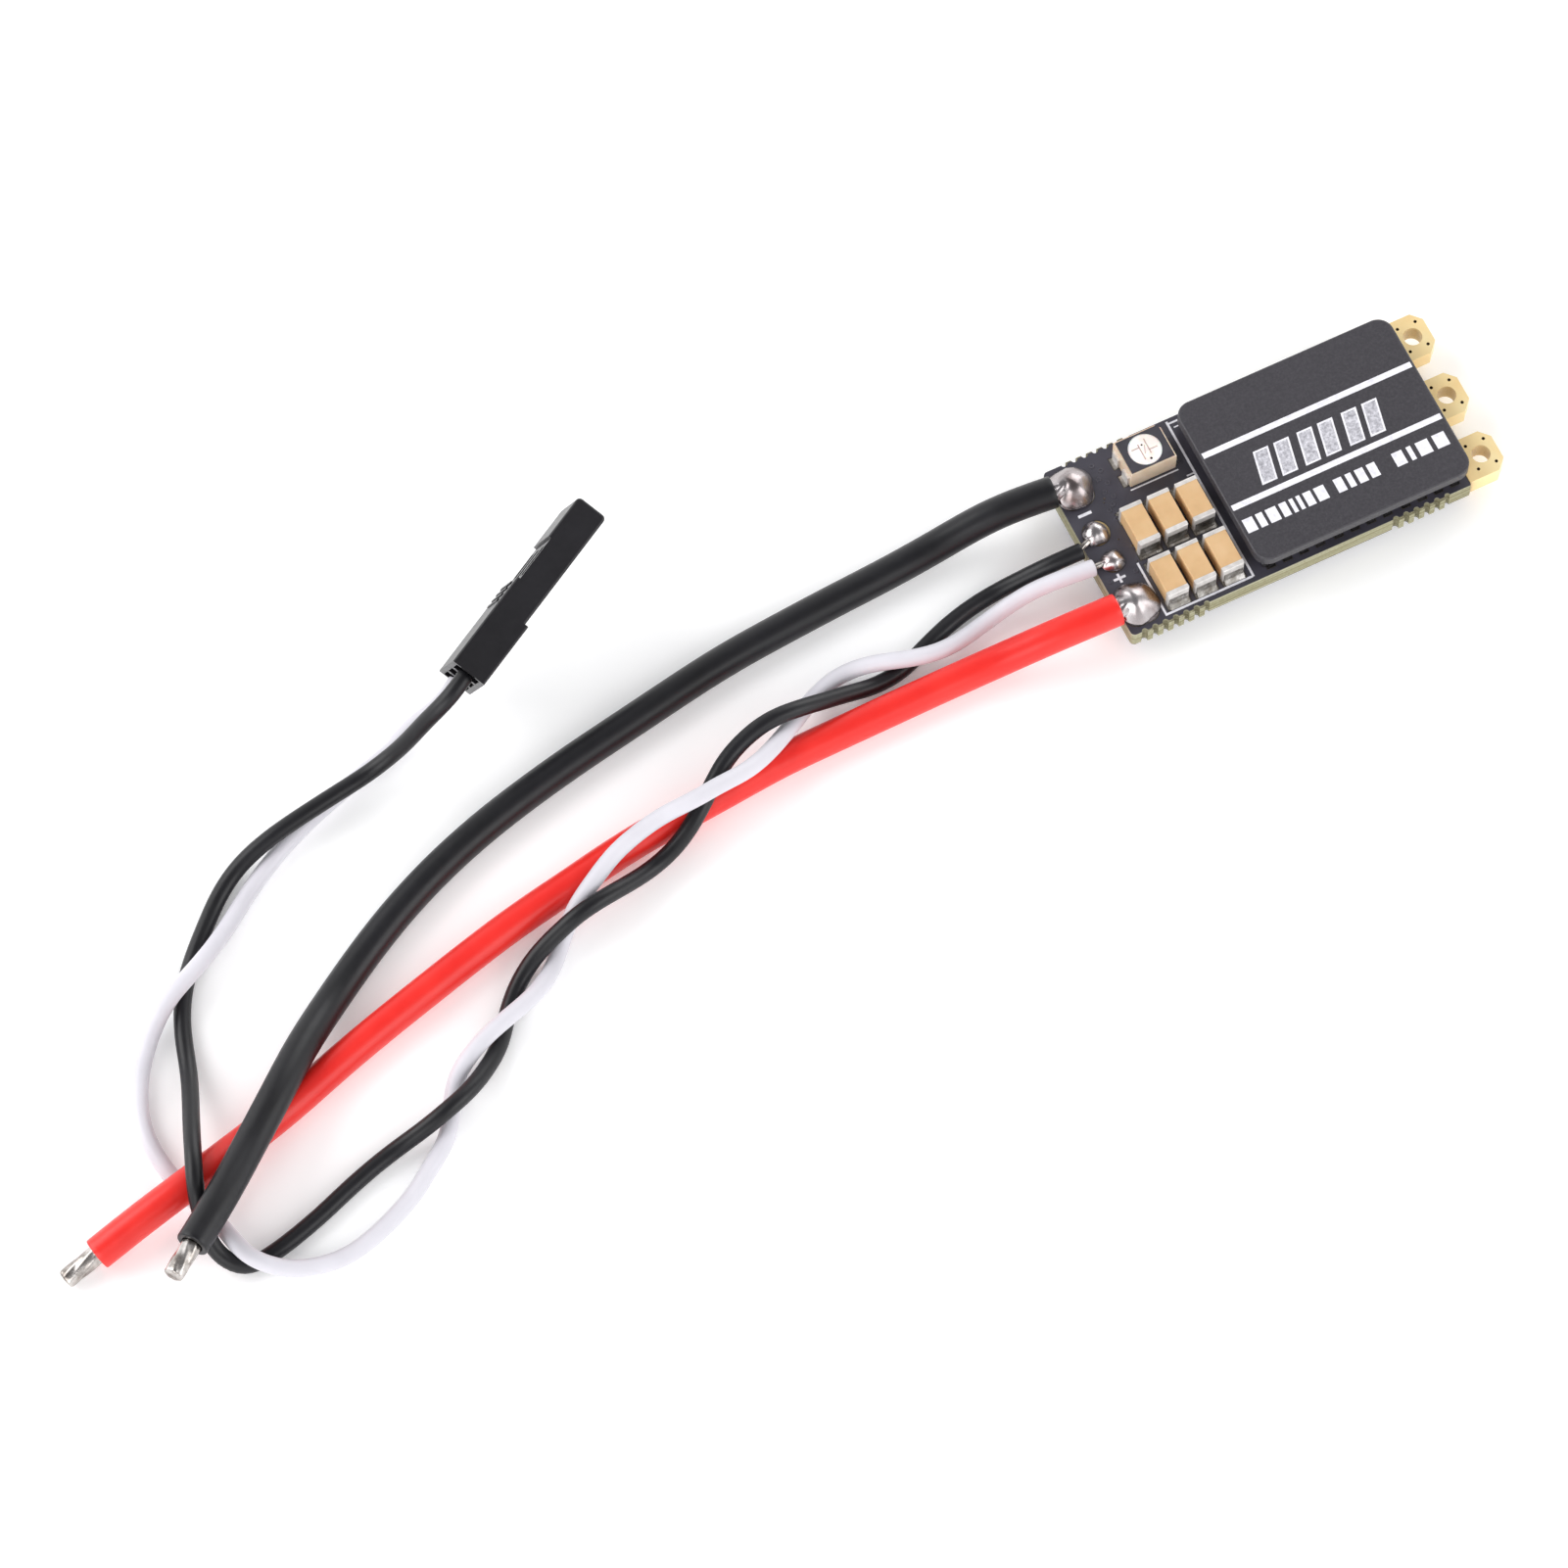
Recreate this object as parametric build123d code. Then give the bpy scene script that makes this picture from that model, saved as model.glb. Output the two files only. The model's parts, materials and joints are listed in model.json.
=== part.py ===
from build123d import *
import math
import os

# Electronic speed controller for a small brushless motor: one printed circuit
# board with a finned-free flat heatsink plate over its six power transistors,
# a bank of six ceramic capacitors, a status light, two heavy battery leads and
# a twisted pair of thin signal leads that ends in a three-way servo plug.
#
# Frame: millimetres. +X runs along the board towards the three motor tabs,
# +Z is up, away from the underside electronics. The origin is the centre of
# the middle motor tab's hole, half way through the board's thickness.

# ---------------------------------------------------------------- dimensions
BOARD_L = 26.3          # board length without the motor tabs
BOARD_W = 13.8          # board width
BOARD_T = 1.6           # finished board thickness
BOARD_X1 = -1.75        # motor end of the board
BOARD_X0 = BOARD_X1 - BOARD_L   # battery end of the board
MASK_T = 0.05           # solder mask and pad thickness
CORE_T = BOARD_T - 2 * MASK_T

TAB_PITCH = 5.07        # motor tab spacing
TAB_W = 3.30            # motor tab width, plating included
TAB_X1 = 1.29           # tip of the tabs
TAB_X0 = -1.70          # inner end of the gold plating
TAB_CHAMFER = 0.70
PLATING_T = 0.05
HOLE_R = 0.67           # finished radius of a motor tab hole
VIA_R = 0.12
VIA_DX, VIA_DY = 0.70, 0.97

BITE_PITCH = 0.80       # break-off perforations along the board's long edges
BITE_R = 0.22
BITE_NIB = 0.14

PLATE_X0, PLATE_X1 = -18.13, -1.45   # heatsink plate
PLATE_W = 13.34
PLATE_T = 0.90
PLATE_CORNER = 1.15
FET_L, FET_W, FET_H = 4.9, 5.7, 0.90
THERMAL_T = 0.14

CAP_L, CAP_W, CAP_H = 3.2, 1.6, 1.6  # 1206 ceramic capacitors, long side across the board
CAP_END = 0.34
CAP_CENTRES = [(-24.05, -0.05), (-21.93, -0.05), (-19.80, -0.05),
               (-24.05, -4.36), (-21.93, -4.36), (-19.80, -4.36)]

LED_C = (-21.26, 4.68)  # status light, 3528 package
LED_L, LED_W, LED_H = 3.5, 2.8, 1.9

POWER_R = 1.15          # 18 AWG silicone lead, outer radius
POWER_BORE = 0.68
POWER_CORE = 0.60
THIN_R = 0.60           # 28 AWG lead, outer radius
THIN_BORE = 0.27
THIN_CORE = 0.20
FLEX_X = BOARD_X0 - 0.65        # plane where the leads start to bend
FLEX_Z = 1.30
TIP_L = 2.6             # bare tinned length of each battery lead

PLUG_L, PLUG_W, PLUG_T = 14.26, 7.6, 2.40  # three-way servo plug, 2.54 mm pitch
PLUG_Z0 = -1.07         # lower face of the slim part, about the plane of the wires
WAY_PITCH = 2.54
PLUG_FLARE = 0.28       # extra thickness at the wire end
PLUG_FLARE_L = 5.0

# Servo plug: centre of the wire end's upper narrow edge and its three directions
PLUG_O = Vector(-71.343, 7.737, 7.459)
PLUG_A = Vector(0.87885, 0.44324, 0.17652).normalized()     # towards the mating end
PLUG_W_DIR = Vector(-0.00038, 0.37063, -0.92878)
PLUG_W_DIR = (PLUG_W_DIR - PLUG_A * PLUG_W_DIR.dot(PLUG_A)).normalized()
PLUG_N = PLUG_A.cross(PLUG_W_DIR)

# Lead centre lines, board end first
NEG_PATH = [
    (-28.51, 5.11, 1.42), (-32.66, 5.53, 0.91), (-36.68, 5.65, -0.30), (-40.86, 5.38, -0.63), (-45.06, 5.10, -0.63),
    (-49.26, 4.78, -0.63), (-53.45, 4.37, -0.63), (-57.61, 3.72, -0.63), (-61.75, 2.97, -0.63), (-65.90, 2.21, -0.63),
    (-70.01, 1.33, -0.63), (-74.08, 0.26, -0.63), (-78.06, -1.11, -0.63), (-81.91, -2.82, -0.63), (-85.60, -4.85, -0.63),
    (-89.08, -7.16, -0.20), (-92.24, -9.67, 0.98), (-95.32, -12.38, 1.88), (-98.52, -15.09, 2.31), (-101.67, -17.78, 3.05),
    (-104.99, -20.31, 3.57),
]
POS_PATH = [
    (-28.95, -4.84, 1.42), (-33.06, -4.56, 0.84), (-37.03, -4.05, -0.38), (-41.19, -3.96, -0.63), (-45.38, -4.01, -0.63),
    (-49.56, -4.07, -0.63), (-53.74, -4.19, -0.63), (-57.91, -4.55, -0.63), (-62.08, -4.92, -0.63), (-66.23, -5.40, -0.63),
    (-70.35, -6.14, -0.63), (-74.46, -6.91, -0.63), (-78.54, -7.86, -0.63), (-82.58, -8.93, -0.63), (-86.62, -10.04, -0.63),
    (-90.62, -11.25, -0.63), (-94.60, -12.54, -0.63), (-98.54, -13.80, -0.08), (-102.46, -15.01, 0.71), (-106.52, -15.84, 0.33),
    (-110.53, -16.57, -0.63),
]
GND_PATH = [
    (-28.62, 0.32, 1.10), (-30.75, 0.48, 0.67), (-32.69, 0.80, -0.30), (-34.72, 0.97, -1.09), (-36.89, 0.67, -1.18),
    (-39.01, 0.09, -1.18), (-41.06, -0.69, -1.18), (-43.13, -1.44, -1.18), (-45.30, -1.69, -1.09), (-47.35, -1.74, -0.36),
    (-49.28, -1.92, 0.68), (-51.24, -2.09, 1.66), (-53.39, -2.16, 2.00), (-55.52, -2.57, 1.79), (-57.52, -3.46, 1.56),
    (-59.28, -4.74, 1.32), (-61.00, -6.02, 0.87), (-62.83, -6.95, 0.10), (-64.88, -7.58, -0.28), (-66.92, -8.15, 0.26),
    (-68.95, -8.64, 0.96), (-71.08, -9.04, 1.08), (-73.10, -9.43, 0.33), (-75.03, -10.00, -0.53), (-76.83, -11.09, -1.13),
    (-78.35, -12.66, -1.18), (-79.73, -14.37, -1.15), (-81.36, -15.78, -0.75), (-83.14, -16.91, -0.16), (-85.15, -17.70, 0.13),
    (-87.23, -18.09, -0.42), (-89.32, -18.34, -1.06), (-91.44, -18.86, -1.18), (-93.53, -19.54, -1.18), (-95.60, -20.28, -1.18),
    (-97.70, -20.93, -1.18), (-99.83, -21.44, -1.18), (-102.00, -21.37, -1.12), (-103.27, -19.93, -0.30), (-103.37, -18.21, 1.06),
    (-103.01, -16.45, 2.30), (-102.27, -14.43, 2.55), (-101.53, -12.48, 1.89), (-100.83, -10.66, 0.88), (-100.13, -8.85, -0.15),
    (-99.46, -6.92, -0.94), (-98.83, -4.84, -1.18), (-98.02, -2.80, -1.18), (-96.87, -0.93, -1.18), (-95.45, 0.74, -1.18),
    (-93.90, 2.30, -1.18), (-92.28, 3.78, -1.17), (-90.44, 4.90, -0.83), (-88.42, 5.52, -0.25), (-86.29, 5.93, 0.11),
    (-84.13, 6.30, 0.18), (-81.97, 6.68, 0.13), (-79.80, 7.03, 0.16), (-77.82, 7.18, 1.02), (-76.31, 7.12, 2.60),
    (-74.93, 7.11, 4.32), (-73.29, 7.40, 5.72), (-71.34, 8.20, 6.29),
]
SIG_PATH = [
    (-28.50, -1.16, 1.10), (-30.68, -0.93, 0.96), (-32.73, -0.62, 0.22), (-34.71, -0.55, -0.73), (-36.83, -0.87, -1.13),
    (-38.93, -1.41, -0.73), (-41.04, -1.60, -0.14), (-43.16, -1.18, 0.13), (-45.12, -0.37, -0.42), (-47.21, -0.05, -0.97),
    (-49.24, -0.75, -0.64), (-50.98, -1.88, 0.12), (-52.69, -3.02, 0.90), (-54.54, -4.06, 1.48), (-56.55, -4.81, 1.97),
    (-58.67, -5.18, 2.45), (-60.84, -5.38, 2.43), (-62.97, -5.29, 1.86), (-65.11, -5.55, 1.43), (-67.20, -6.19, 1.22),
    (-69.16, -7.14, 0.88), (-70.98, -8.09, 0.08), (-72.53, -9.28, -0.91), (-74.04, -10.84, -1.12), (-75.75, -12.14, -0.66),
    (-77.67, -13.06, -0.10), (-79.74, -13.74, 0.09), (-81.75, -14.41, -0.48), (-83.53, -15.54, -1.08), (-84.76, -17.35, -1.18),
    (-86.03, -19.13, -1.18), (-87.78, -20.47, -1.18), (-89.60, -21.72, -1.18), (-91.58, -22.67, -1.18), (-93.66, -23.42, -1.18),
    (-95.83, -23.77, -1.18), (-98.00, -23.53, -0.98), (-99.98, -22.87, -0.28), (-101.47, -21.40, 0.10), (-102.02, -19.35, -0.42),
    (-102.49, -17.30, -1.05), (-103.18, -15.21, -1.18), (-103.74, -13.08, -1.18), (-103.99, -10.89, -1.18), (-103.74, -8.71, -1.18),
    (-102.93, -6.66, -1.18), (-101.75, -4.81, -1.17), (-100.27, -3.25, -0.76), (-98.55, -2.07, -0.06), (-96.59, -1.12, 0.11),
    (-94.72, -0.03, -0.31), (-92.96, 1.20, -0.82), (-91.24, 2.52, -1.16), (-89.41, 3.75, -1.18), (-87.49, 4.83, -1.18),
    (-85.49, 5.77, -1.18), (-83.44, 6.56, -1.18), (-81.34, 7.24, -1.18), (-79.23, 7.90, -1.18), (-77.15, 8.57, -1.04),
    (-75.24, 9.10, -0.11), (-73.42, 9.64, 1.01), (-71.35, 10.09, 1.57),
]

PARTS = "parts"
os.makedirs(PARTS, exist_ok=True)


def save(name, *solids):
    """Write one node: one or more solids in one STEP file."""
    flat = []
    for s in solids:
        flat += list(s.solids())
    shape = flat[0] if len(flat) == 1 else Compound(children=[Solid(f.wrapped) for f in flat])
    export_step(shape, os.path.join(PARTS, name + ".step"))


def box(x0, x1, y0, y1, z0, z1):
    return Pos((x0 + x1) / 2, (y0 + y1) / 2, (z0 + z1) / 2) * Box(x1 - x0, y1 - y0, z1 - z0)


def cyl(x, y, z0, z1, r):
    return Pos(x, y, (z0 + z1) / 2) * Cylinder(r, z1 - z0)


ZT = BOARD_T / 2        # board top
ZC = CORE_T / 2         # top of the laminate
BY = BOARD_W / 2
TAB_YS = {"motor_tab_a": -TAB_PITCH, "motor_tab_b": 0.0, "motor_tab_c": TAB_PITCH}

# ------------------------------------------------------------- circuit board
def tab_outline(grow, x0):
    """Outline of one motor tab about its own centre line."""
    w = TAB_W / 2 - PLATING_T + grow
    x1 = TAB_X1 - PLATING_T + grow
    c = TAB_CHAMFER
    return Polyline((x0, -w), (x1 - c, -w), (x1, -w + 0.55 * c + 0.35), (x1, w - 0.55 * c - 0.35),
                    (x1 - c, w), (x0, w), close=True)


def tab_prism(yc, grow, x0, half):
    face = make_face(tab_outline(grow, x0))
    return Pos(0, yc, -half) * extrude(face, 2 * half)


def vias(yc, r, half):
    return [cyl(sx * VIA_DX, yc + sy * VIA_DY, -half, half, r) for sx in (-1, 1) for sy in (-1, 1)]


core = box(BOARD_X0, BOARD_X1, -BY, BY, -ZC, ZC)
core = fillet(core.edges().filter_by(Axis.Z).sort_by(Axis.X)[:2], 0.35)
for yc in TAB_YS.values():
    core += tab_prism(yc, 0.0, BOARD_X1 - 0.5, ZC)
for yc in TAB_YS.values():
    core -= cyl(0, yc, -1, 1, HOLE_R + PLATING_T)
    for v in vias(yc, VIA_R + 0.04, 1):
        core -= v
# break-off perforations: rows of half holes with small nibs left between them
bite_rows = [(BOARD_X0 + 1.35, 6, -1), (BOARD_X0 + 20.85, 5, -1), (BOARD_X0 + 2.10, 6, 1), (BOARD_X0 + 20.85, 5, 1)]
for x0, n, side in bite_rows:
    for i in range(n + 1):
        x = x0 + (i - 0.5) * BITE_PITCH
        if i < n:
            core += box(x + BITE_PITCH / 2 - 0.22, x + BITE_PITCH / 2 + 0.22,
                        min(side * (BY - 0.5), side * (BY + BITE_NIB)),
                        max(side * (BY - 0.5), side * (BY + BITE_NIB)), -ZC, ZC - 0.12)
for x0, n, side in bite_rows:
    for i in range(n + 1):
        core -= cyl(x0 + (i - 0.5) * BITE_PITCH + 0.0, side * (BY + 0.03), -1, 1, BITE_R)
save("pcb_core", core)

# gold-plated motor tabs: skins on both faces and the edges, a lined hole and
# four small lined vias
for name, yc in TAB_YS.items():
    tab = tab_prism(yc, PLATING_T, TAB_X0, ZT) - tab_prism(yc, 0.0, TAB_X0 - 1, ZC)
    tab += cyl(0, yc, -ZT, ZT, HOLE_R + PLATING_T)
    for v in vias(yc, VIA_R + 0.04, ZT):
        tab += v
    tab -= cyl(0, yc, -1, 1, HOLE_R)
    for v in vias(yc, VIA_R, 1):
        tab -= v
    save(name, tab)

# pads: flush with the solder mask, in openings 0.05 mm larger than each pad
def rect_pad(xc, yc, lx, ly, top=True):
    z0, z1 = (ZC, ZT) if top else (-ZT, -ZC)
    return box(xc - lx / 2, xc + lx / 2, yc - ly / 2, yc + ly / 2, z0, z1)


def soft_pad(xc, yc, lx, ly, grow=0.0):
    """Power pad with rounded corners."""
    b = rect_pad(xc, yc, lx + 2 * grow, ly + 2 * grow)
    return fillet(b.edges().filter_by(Axis.Z), 0.85 + grow)


NEG_PAD = (-26.70, 4.95, 2.50, 3.10)
POS_PAD = (-26.70, -4.90, 2.50, 3.10)
GND_PAD = (-26.75, 1.18, 0.95)
SIG_PAD = (-26.70, -1.25, 0.80)
pad_neg = soft_pad(*NEG_PAD)
pad_pos = soft_pad(*POS_PAD)
pad_gnd = cyl(GND_PAD[0], GND_PAD[1], ZC, ZT, GND_PAD[2])
pad_sig = cyl(SIG_PAD[0], SIG_PAD[1], ZC, ZT, SIG_PAD[2])
save("power_pad_negative", pad_neg)
save("power_pad_positive", pad_pos)
save("signal_pads", pad_gnd, pad_sig)

CAP_PAD = (1.70, 0.90)
cap_pads = []
for xc, yc in CAP_CENTRES:
    for s in (-1, 1):
        cap_pads.append(rect_pad(xc, yc + s * (CAP_L / 2 - 0.10), *CAP_PAD))
save("capacitor_pads", *cap_pads)

led_pads = [rect_pad(LED_C[0] + sx * 1.70, LED_C[1] + sy * 0.75, 0.9, 0.9) for sx in (-1, 1) for sy in (-1, 1)]
save("led_pads", *led_pads)

# six power transistors, three half bridges of two; pads on the top face
FET_XS = [PLATE_X0 + 0.55 + FET_L / 2 + i * (FET_L + 0.35) for i in range(3)]
FET_YS = [-3.35, 3.35]
fet_pads, fet_bodies, fet_terms = [], [], []
for fx in FET_XS:
    for fy in FET_YS:
        s = 1 if fy > 0 else -1
        # drain paddle under the body and four source and gate pads at the outer side
        fet_pads.append(rect_pad(fx, fy - s * 0.55, 4.2, 3.9))
        for k in range(4):
            fet_pads.append(rect_pad(fx + (k - 1.5) * 1.27, fy + s * 2.65, 0.62, 0.9))
save("transistor_pads", *fet_pads)

mask_top = box(BOARD_X0, BOARD_X1, -BY, BY, ZC, ZT)
mask_top = fillet(mask_top.edges().filter_by(Axis.Z).sort_by(Axis.X)[:2], 0.35)
cutters = [soft_pad(*NEG_PAD, 0.05),
           soft_pad(*POS_PAD, 0.05),
           cyl(GND_PAD[0], GND_PAD[1], ZC, ZT, GND_PAD[2] + 0.05),
           cyl(SIG_PAD[0], SIG_PAD[1], ZC, ZT, SIG_PAD[2] + 0.05)]
for p in cap_pads + led_pads + fet_pads:
    b = p.bounding_box()
    cutters.append(box(b.min.X - 0.05, b.max.X + 0.05, b.min.Y - 0.05, b.max.Y + 0.05, ZC, ZT))
for x0, n, side in bite_rows:
    for i in range(n + 1):
        cutters.append(cyl(x0 + (i - 0.5) * BITE_PITCH, side * (BY + 0.03), ZC, ZT, BITE_R))
for yc in TAB_YS.values():
    cutters.append(box(TAB_X0 - 0.02, 0, yc - 2, yc + 2, ZC, ZT))
mask_top = mask_top.cut(*[Pos(0, 0, 0) * Solid(c.solids()[0].wrapped) for c in cutters])
save("solder_mask_top", mask_top)

# ------------------------------------------------------- underside electronics
MCU_C, MCU_S, MCU_H = (-22.4, 0.2), 3.0, 0.75
DRV_C, DRV_S, DRV_H = (-16.4, 0.0), 4.0, 0.85
REG_C = (-22.6, 5.0)


def down(xc, yc, lx, ly, h, off=0.0):
    return box(xc - lx / 2, xc + lx / 2, yc - ly / 2, yc + ly / 2, -ZT - off - h, -ZT - off)


SMALL_C = [(-18.9 + 1.25 * i, 4.9) for i in range(10)]     # 0402 chip capacitors
SMALL_R = [(-18.9 + 1.25 * i, -4.9) for i in range(10)]    # 0402 resistors
EXTRA_C = [(-24.9, 3.2 - 1.25 * i) for i in range(5)]
under_pads, ic_terms = [], []
for (cx, cy), s, n, pitch in ((MCU_C, MCU_S, 5, 0.5), (DRV_C, DRV_S, 6, 0.5)):
    for k in range(n):
        o = (k - (n - 1) / 2) * pitch
        for sx, sy, lx, ly in ((0, -1, 0.24, 0.40), (0, 1, 0.24, 0.40), (-1, 0, 0.40, 0.24), (1, 0, 0.40, 0.24)):
            px = cx + (o if sx == 0 else sx * (s / 2))
            py = cy + (o if sy == 0 else sy * (s / 2))
            ic_terms.append(down(px, py, lx, ly, 0.20))
    ic_terms.append(down(cx, cy, s - 1.3, s - 1.3, 0.03))
mcu = down(*MCU_C, MCU_S, MCU_S, MCU_H - 0.02, 0.02)
drv = down(*DRV_C, DRV_S, DRV_S, DRV_H - 0.02, 0.02)
ics = []
for body_ in (mcu, drv):
    for t in ic_terms:
        body_ = body_ - t
    ics.append(body_)
mcu = ics[0] - cyl(MCU_C[0] - 1.1, MCU_C[1] + 1.1, -ZT - MCU_H - 0.1, -ZT - MCU_H + 0.04, 0.2)
drv = ics[1] - cyl(DRV_C[0] - 1.5, DRV_C[1] + 1.5, -ZT - DRV_H - 0.1, -ZT - DRV_H + 0.04, 0.25)
save("microcontroller", mcu)
save("gate_driver", drv)
save("chip_terminals", *ic_terms)

reg_body = down(REG_C[0], REG_C[1], 2.9, 1.6, 0.95, 0.05)
reg_body = chamfer(reg_body.faces().sort_by(Axis.Z)[0].edges(), 0.12)
reg_legs = []
for dx in (-0.95, 0, 0.95):
    for s in (-1, 1):
        if dx == 0 and s == 1:
            continue
        y1 = REG_C[1] + s * 0.80
        y2 = REG_C[1] + s * 1.38
        leg = box(REG_C[0] + dx - 0.2, REG_C[0] + dx + 0.2, min(y1, y2), max(y1, y2), -ZT - 0.12, -ZT)
        leg += box(REG_C[0] + dx - 0.2, REG_C[0] + dx + 0.2, min(y1, y1 + s * 0.14), max(y1, y1 + s * 0.14), -ZT - 0.6, -ZT)
        reg_legs.append(leg)
save("voltage_regulator", reg_body)
save("regulator_legs", *reg_legs)

cer, res, ends = [], [], []
for lst, h, dest, vertical in ((SMALL_C, 0.5, cer, True), (SMALL_R, 0.36, res, True), (EXTRA_C, 0.5, cer, False)):
    for cx, cy in lst:
        if vertical:
            dest.append(down(cx, cy, 0.5, 0.5, h))
            ends.append(down(cx, cy - 0.375, 0.52, 0.25, h + 0.01))
            ends.append(down(cx, cy + 0.375, 0.52, 0.25, h + 0.01))
        else:
            dest.append(down(cx, cy, 0.5, 0.5, h))
            ends.append(down(cx - 0.375, cy, 0.25, 0.52, h + 0.01))
            ends.append(down(cx + 0.375, cy, 0.25, 0.52, h + 0.01))
save("small_capacitors", *cer)
save("small_resistors", *res)
save("small_part_terminals", *ends)

mask_bot = box(BOARD_X0, BOARD_X1, -BY, BY, -ZT, -ZC)
mask_bot = fillet(mask_bot.edges().filter_by(Axis.Z).sort_by(Axis.X)[:2], 0.35)
cutters = []
for x0, n, side in bite_rows:
    for i in range(n + 1):
        cutters.append(cyl(x0 + (i - 0.5) * BITE_PITCH, side * (BY + 0.03), -ZT, -ZC, BITE_R))
for yc in TAB_YS.values():
    cutters.append(box(TAB_X0 - 0.02, 0, yc - 2, yc + 2, -ZT, -ZC))
mask_bot = mask_bot.cut(*[Solid(c.solids()[0].wrapped) for c in cutters])
save("solder_mask_bottom", mask_bot)

# ----------------------------------------------------------------- silkscreen
SILK_T = 0.02


def ink(x0, x1, y0, y1):
    return box(min(x0, x1), max(x0, x1), min(y0, y1), max(y0, y1), ZT, ZT + SILK_T)


silk = [ink(-18.57, -18.40, -6.52, 6.70),                  # beside the plate
        ink(-25.30, -18.57, -6.56, -6.40),                 # capacitor frame, near side
        ink(-25.30, -25.14, -6.40, -2.10),                 # capacitor frame, battery side
        ink(-19.10, -18.57, 2.30, 2.42),
        ink(-23.10, -19.40, 3.02, 3.12),                   # status light outline
        # generic polarity marks beside the battery leads
        ink(-27.30, -26.30, 2.70, 2.92),
        ink(-27.30, -26.40, -2.68, -2.50)]
silk.append(ink(-26.94, -26.76, -2.95, -2.23) - ink(-27.30, -26.40, -2.68, -2.50))
save("silkscreen_top", *silk)

# ---------------------------------------------------------- power transistors
for fx in FET_XS:
    for fy in FET_YS:
        s = 1 if fy > 0 else -1
        body_ = box(fx - FET_L / 2, fx + FET_L / 2, fy - FET_W / 2, fy + FET_W / 2, ZT + 0.01, ZT + FET_H)
        paddle = box(fx - 2.1, fx + 2.1, min(fy - s * 2.95, fy + s * 1.2), max(fy - s * 2.95, fy + s * 1.2), ZT, ZT + 0.25)
        legs = [box(fx + (k - 1.5) * 1.27 - 0.22, fx + (k - 1.5) * 1.27 + 0.22,
                    min(fy + s * 2.30, fy + s * 3.00), max(fy + s * 2.30, fy + s * 3.00), ZT, ZT + 0.25) for k in range(4)]
        body_ = body_ - paddle
        for leg in legs:
            body_ = body_ - leg
        fet_bodies.append(body_)
        fet_terms += [paddle] + legs
save("power_transistors", *fet_bodies)
save("transistor_terminals", *fet_terms)

ZP0 = ZT + FET_H
ZP1 = ZP0 + THERMAL_T
ZP2 = ZP1 + PLATE_T
thermal = box(PLATE_X0 + 0.35, PLATE_X1 - 0.35, -PLATE_W / 2 + 0.35, PLATE_W / 2 - 0.35, ZP0, ZP1)
save("thermal_pad", thermal)

# printed marking, flush with the plate: two stripes, three pairs of slanted
# bars (white outline, silver filling) and a row of dashes in three groups
INK = 0.04


def mark(x0, x1, y0, y1):
    return box(x0, x1, y0, y1, ZP2 - INK, ZP2)


marks = [mark(-17.95, -1.68, 2.18, 2.62), mark(-17.95, -1.68, -2.27, -1.83)]
pockets = list(marks)
fills = []


def bar(x, y0, y1, w, lean, inset=0.0):
    t = lean / (y1 - y0)
    ya, yb = y0 + inset, y1 - inset
    f = make_face(Polyline((x + inset + t * (ya - y0), ya), (x + w - inset + t * (ya - y0), ya),
                           (x + w - inset + t * (yb - y0), yb), (x + inset + t * (yb - y0), yb), close=True))
    return Pos(0, 0, ZP2 - INK) * extrude(f, INK)


for x in (-15.25, -13.65, -11.85, -10.25, -8.40, -6.80):
    outer = bar(x, -1.38, 1.18, 1.18, 0.55)
    inner = bar(x, -1.38, 1.18, 1.18, 0.55, 0.13)
    marks.append(outer - inner)
    fills.append(inner)
    pockets.append(outer)
for x, widths, gap in ((-17.80, (0.78, 0.52, 0.80, 0.55, 0.30, 0.30, 0.60, 0.78), 0.24),
                       (-10.75, (0.65, 0.45, 0.65, 0.65), 0.28),
                       (-6.20, (0.80, 0.35, 0.95, 0.95), 0.35)):
    for w in widths:
        marks.append(mark(x, x + w, -4.25, -3.15))
        pockets.append(marks[-1])
        x += w + gap
save("heatsink_marking", *marks)
save("heatsink_marking_fill", *fills)

plate = box(PLATE_X0, PLATE_X1, -PLATE_W / 2, PLATE_W / 2, ZP1, ZP2)
plate = fillet(plate.edges().filter_by(Axis.Z), PLATE_CORNER)
plate = fillet(plate.faces().sort_by(Axis.Z)[-1].edges(), 0.16)
plate = chamfer(plate.faces().sort_by(Axis.Z)[0].edges(), 0.05)
for p in pockets:
    plate = plate - p
save("heatsink_plate", plate)

# ------------------------------------------------------------ capacitor bank
cap_bodies, cap_ends, cap_solder = [], [], []
for xc, yc in CAP_CENTRES:
    b = box(xc - CAP_W / 2, xc + CAP_W / 2, yc - CAP_L / 2 + CAP_END, yc + CAP_L / 2 - CAP_END, ZT + 0.02, ZT + CAP_H - 0.02)
    cap_bodies.append(fillet(b.edges().filter_by(Axis.Y), 0.06))
    for s in (-1, 1):
        y0 = yc + s * (CAP_L / 2 - CAP_END)
        y1 = yc + s * CAP_L / 2
        e = box(xc - CAP_W / 2 - 0.02, xc + CAP_W / 2 + 0.02, min(y0, y1), max(y0, y1), ZT, ZT + CAP_H)
        outer = e.faces().sort_by(Axis.Y)[-1 if s > 0 else 0].edges()
        e = fillet(outer, 0.10)
        cap_ends.append(e)
        # concave solder fillet from the pad up the end of the part
        ys = y1 + s * 0.001
        prof = make_face(Polyline((ys, ZT), (ys + s * 0.42, ZT), (ys + s * 0.40, ZT + 0.06), (ys + s * 0.25, ZT + 0.15),
                                  (ys + s * 0.13, ZT + 0.34), (ys + s * 0.05, ZT + 0.62), (ys, ZT + 0.95), close=True))
        w = Plane.YZ * prof
        w = Pos(xc - 0.74, 0, 0) * Solid.extrude(w.faces()[0], Vector(1.48, 0, 0))
        cap_solder.append(w)
save("capacitor_ceramics", *cap_bodies)
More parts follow.
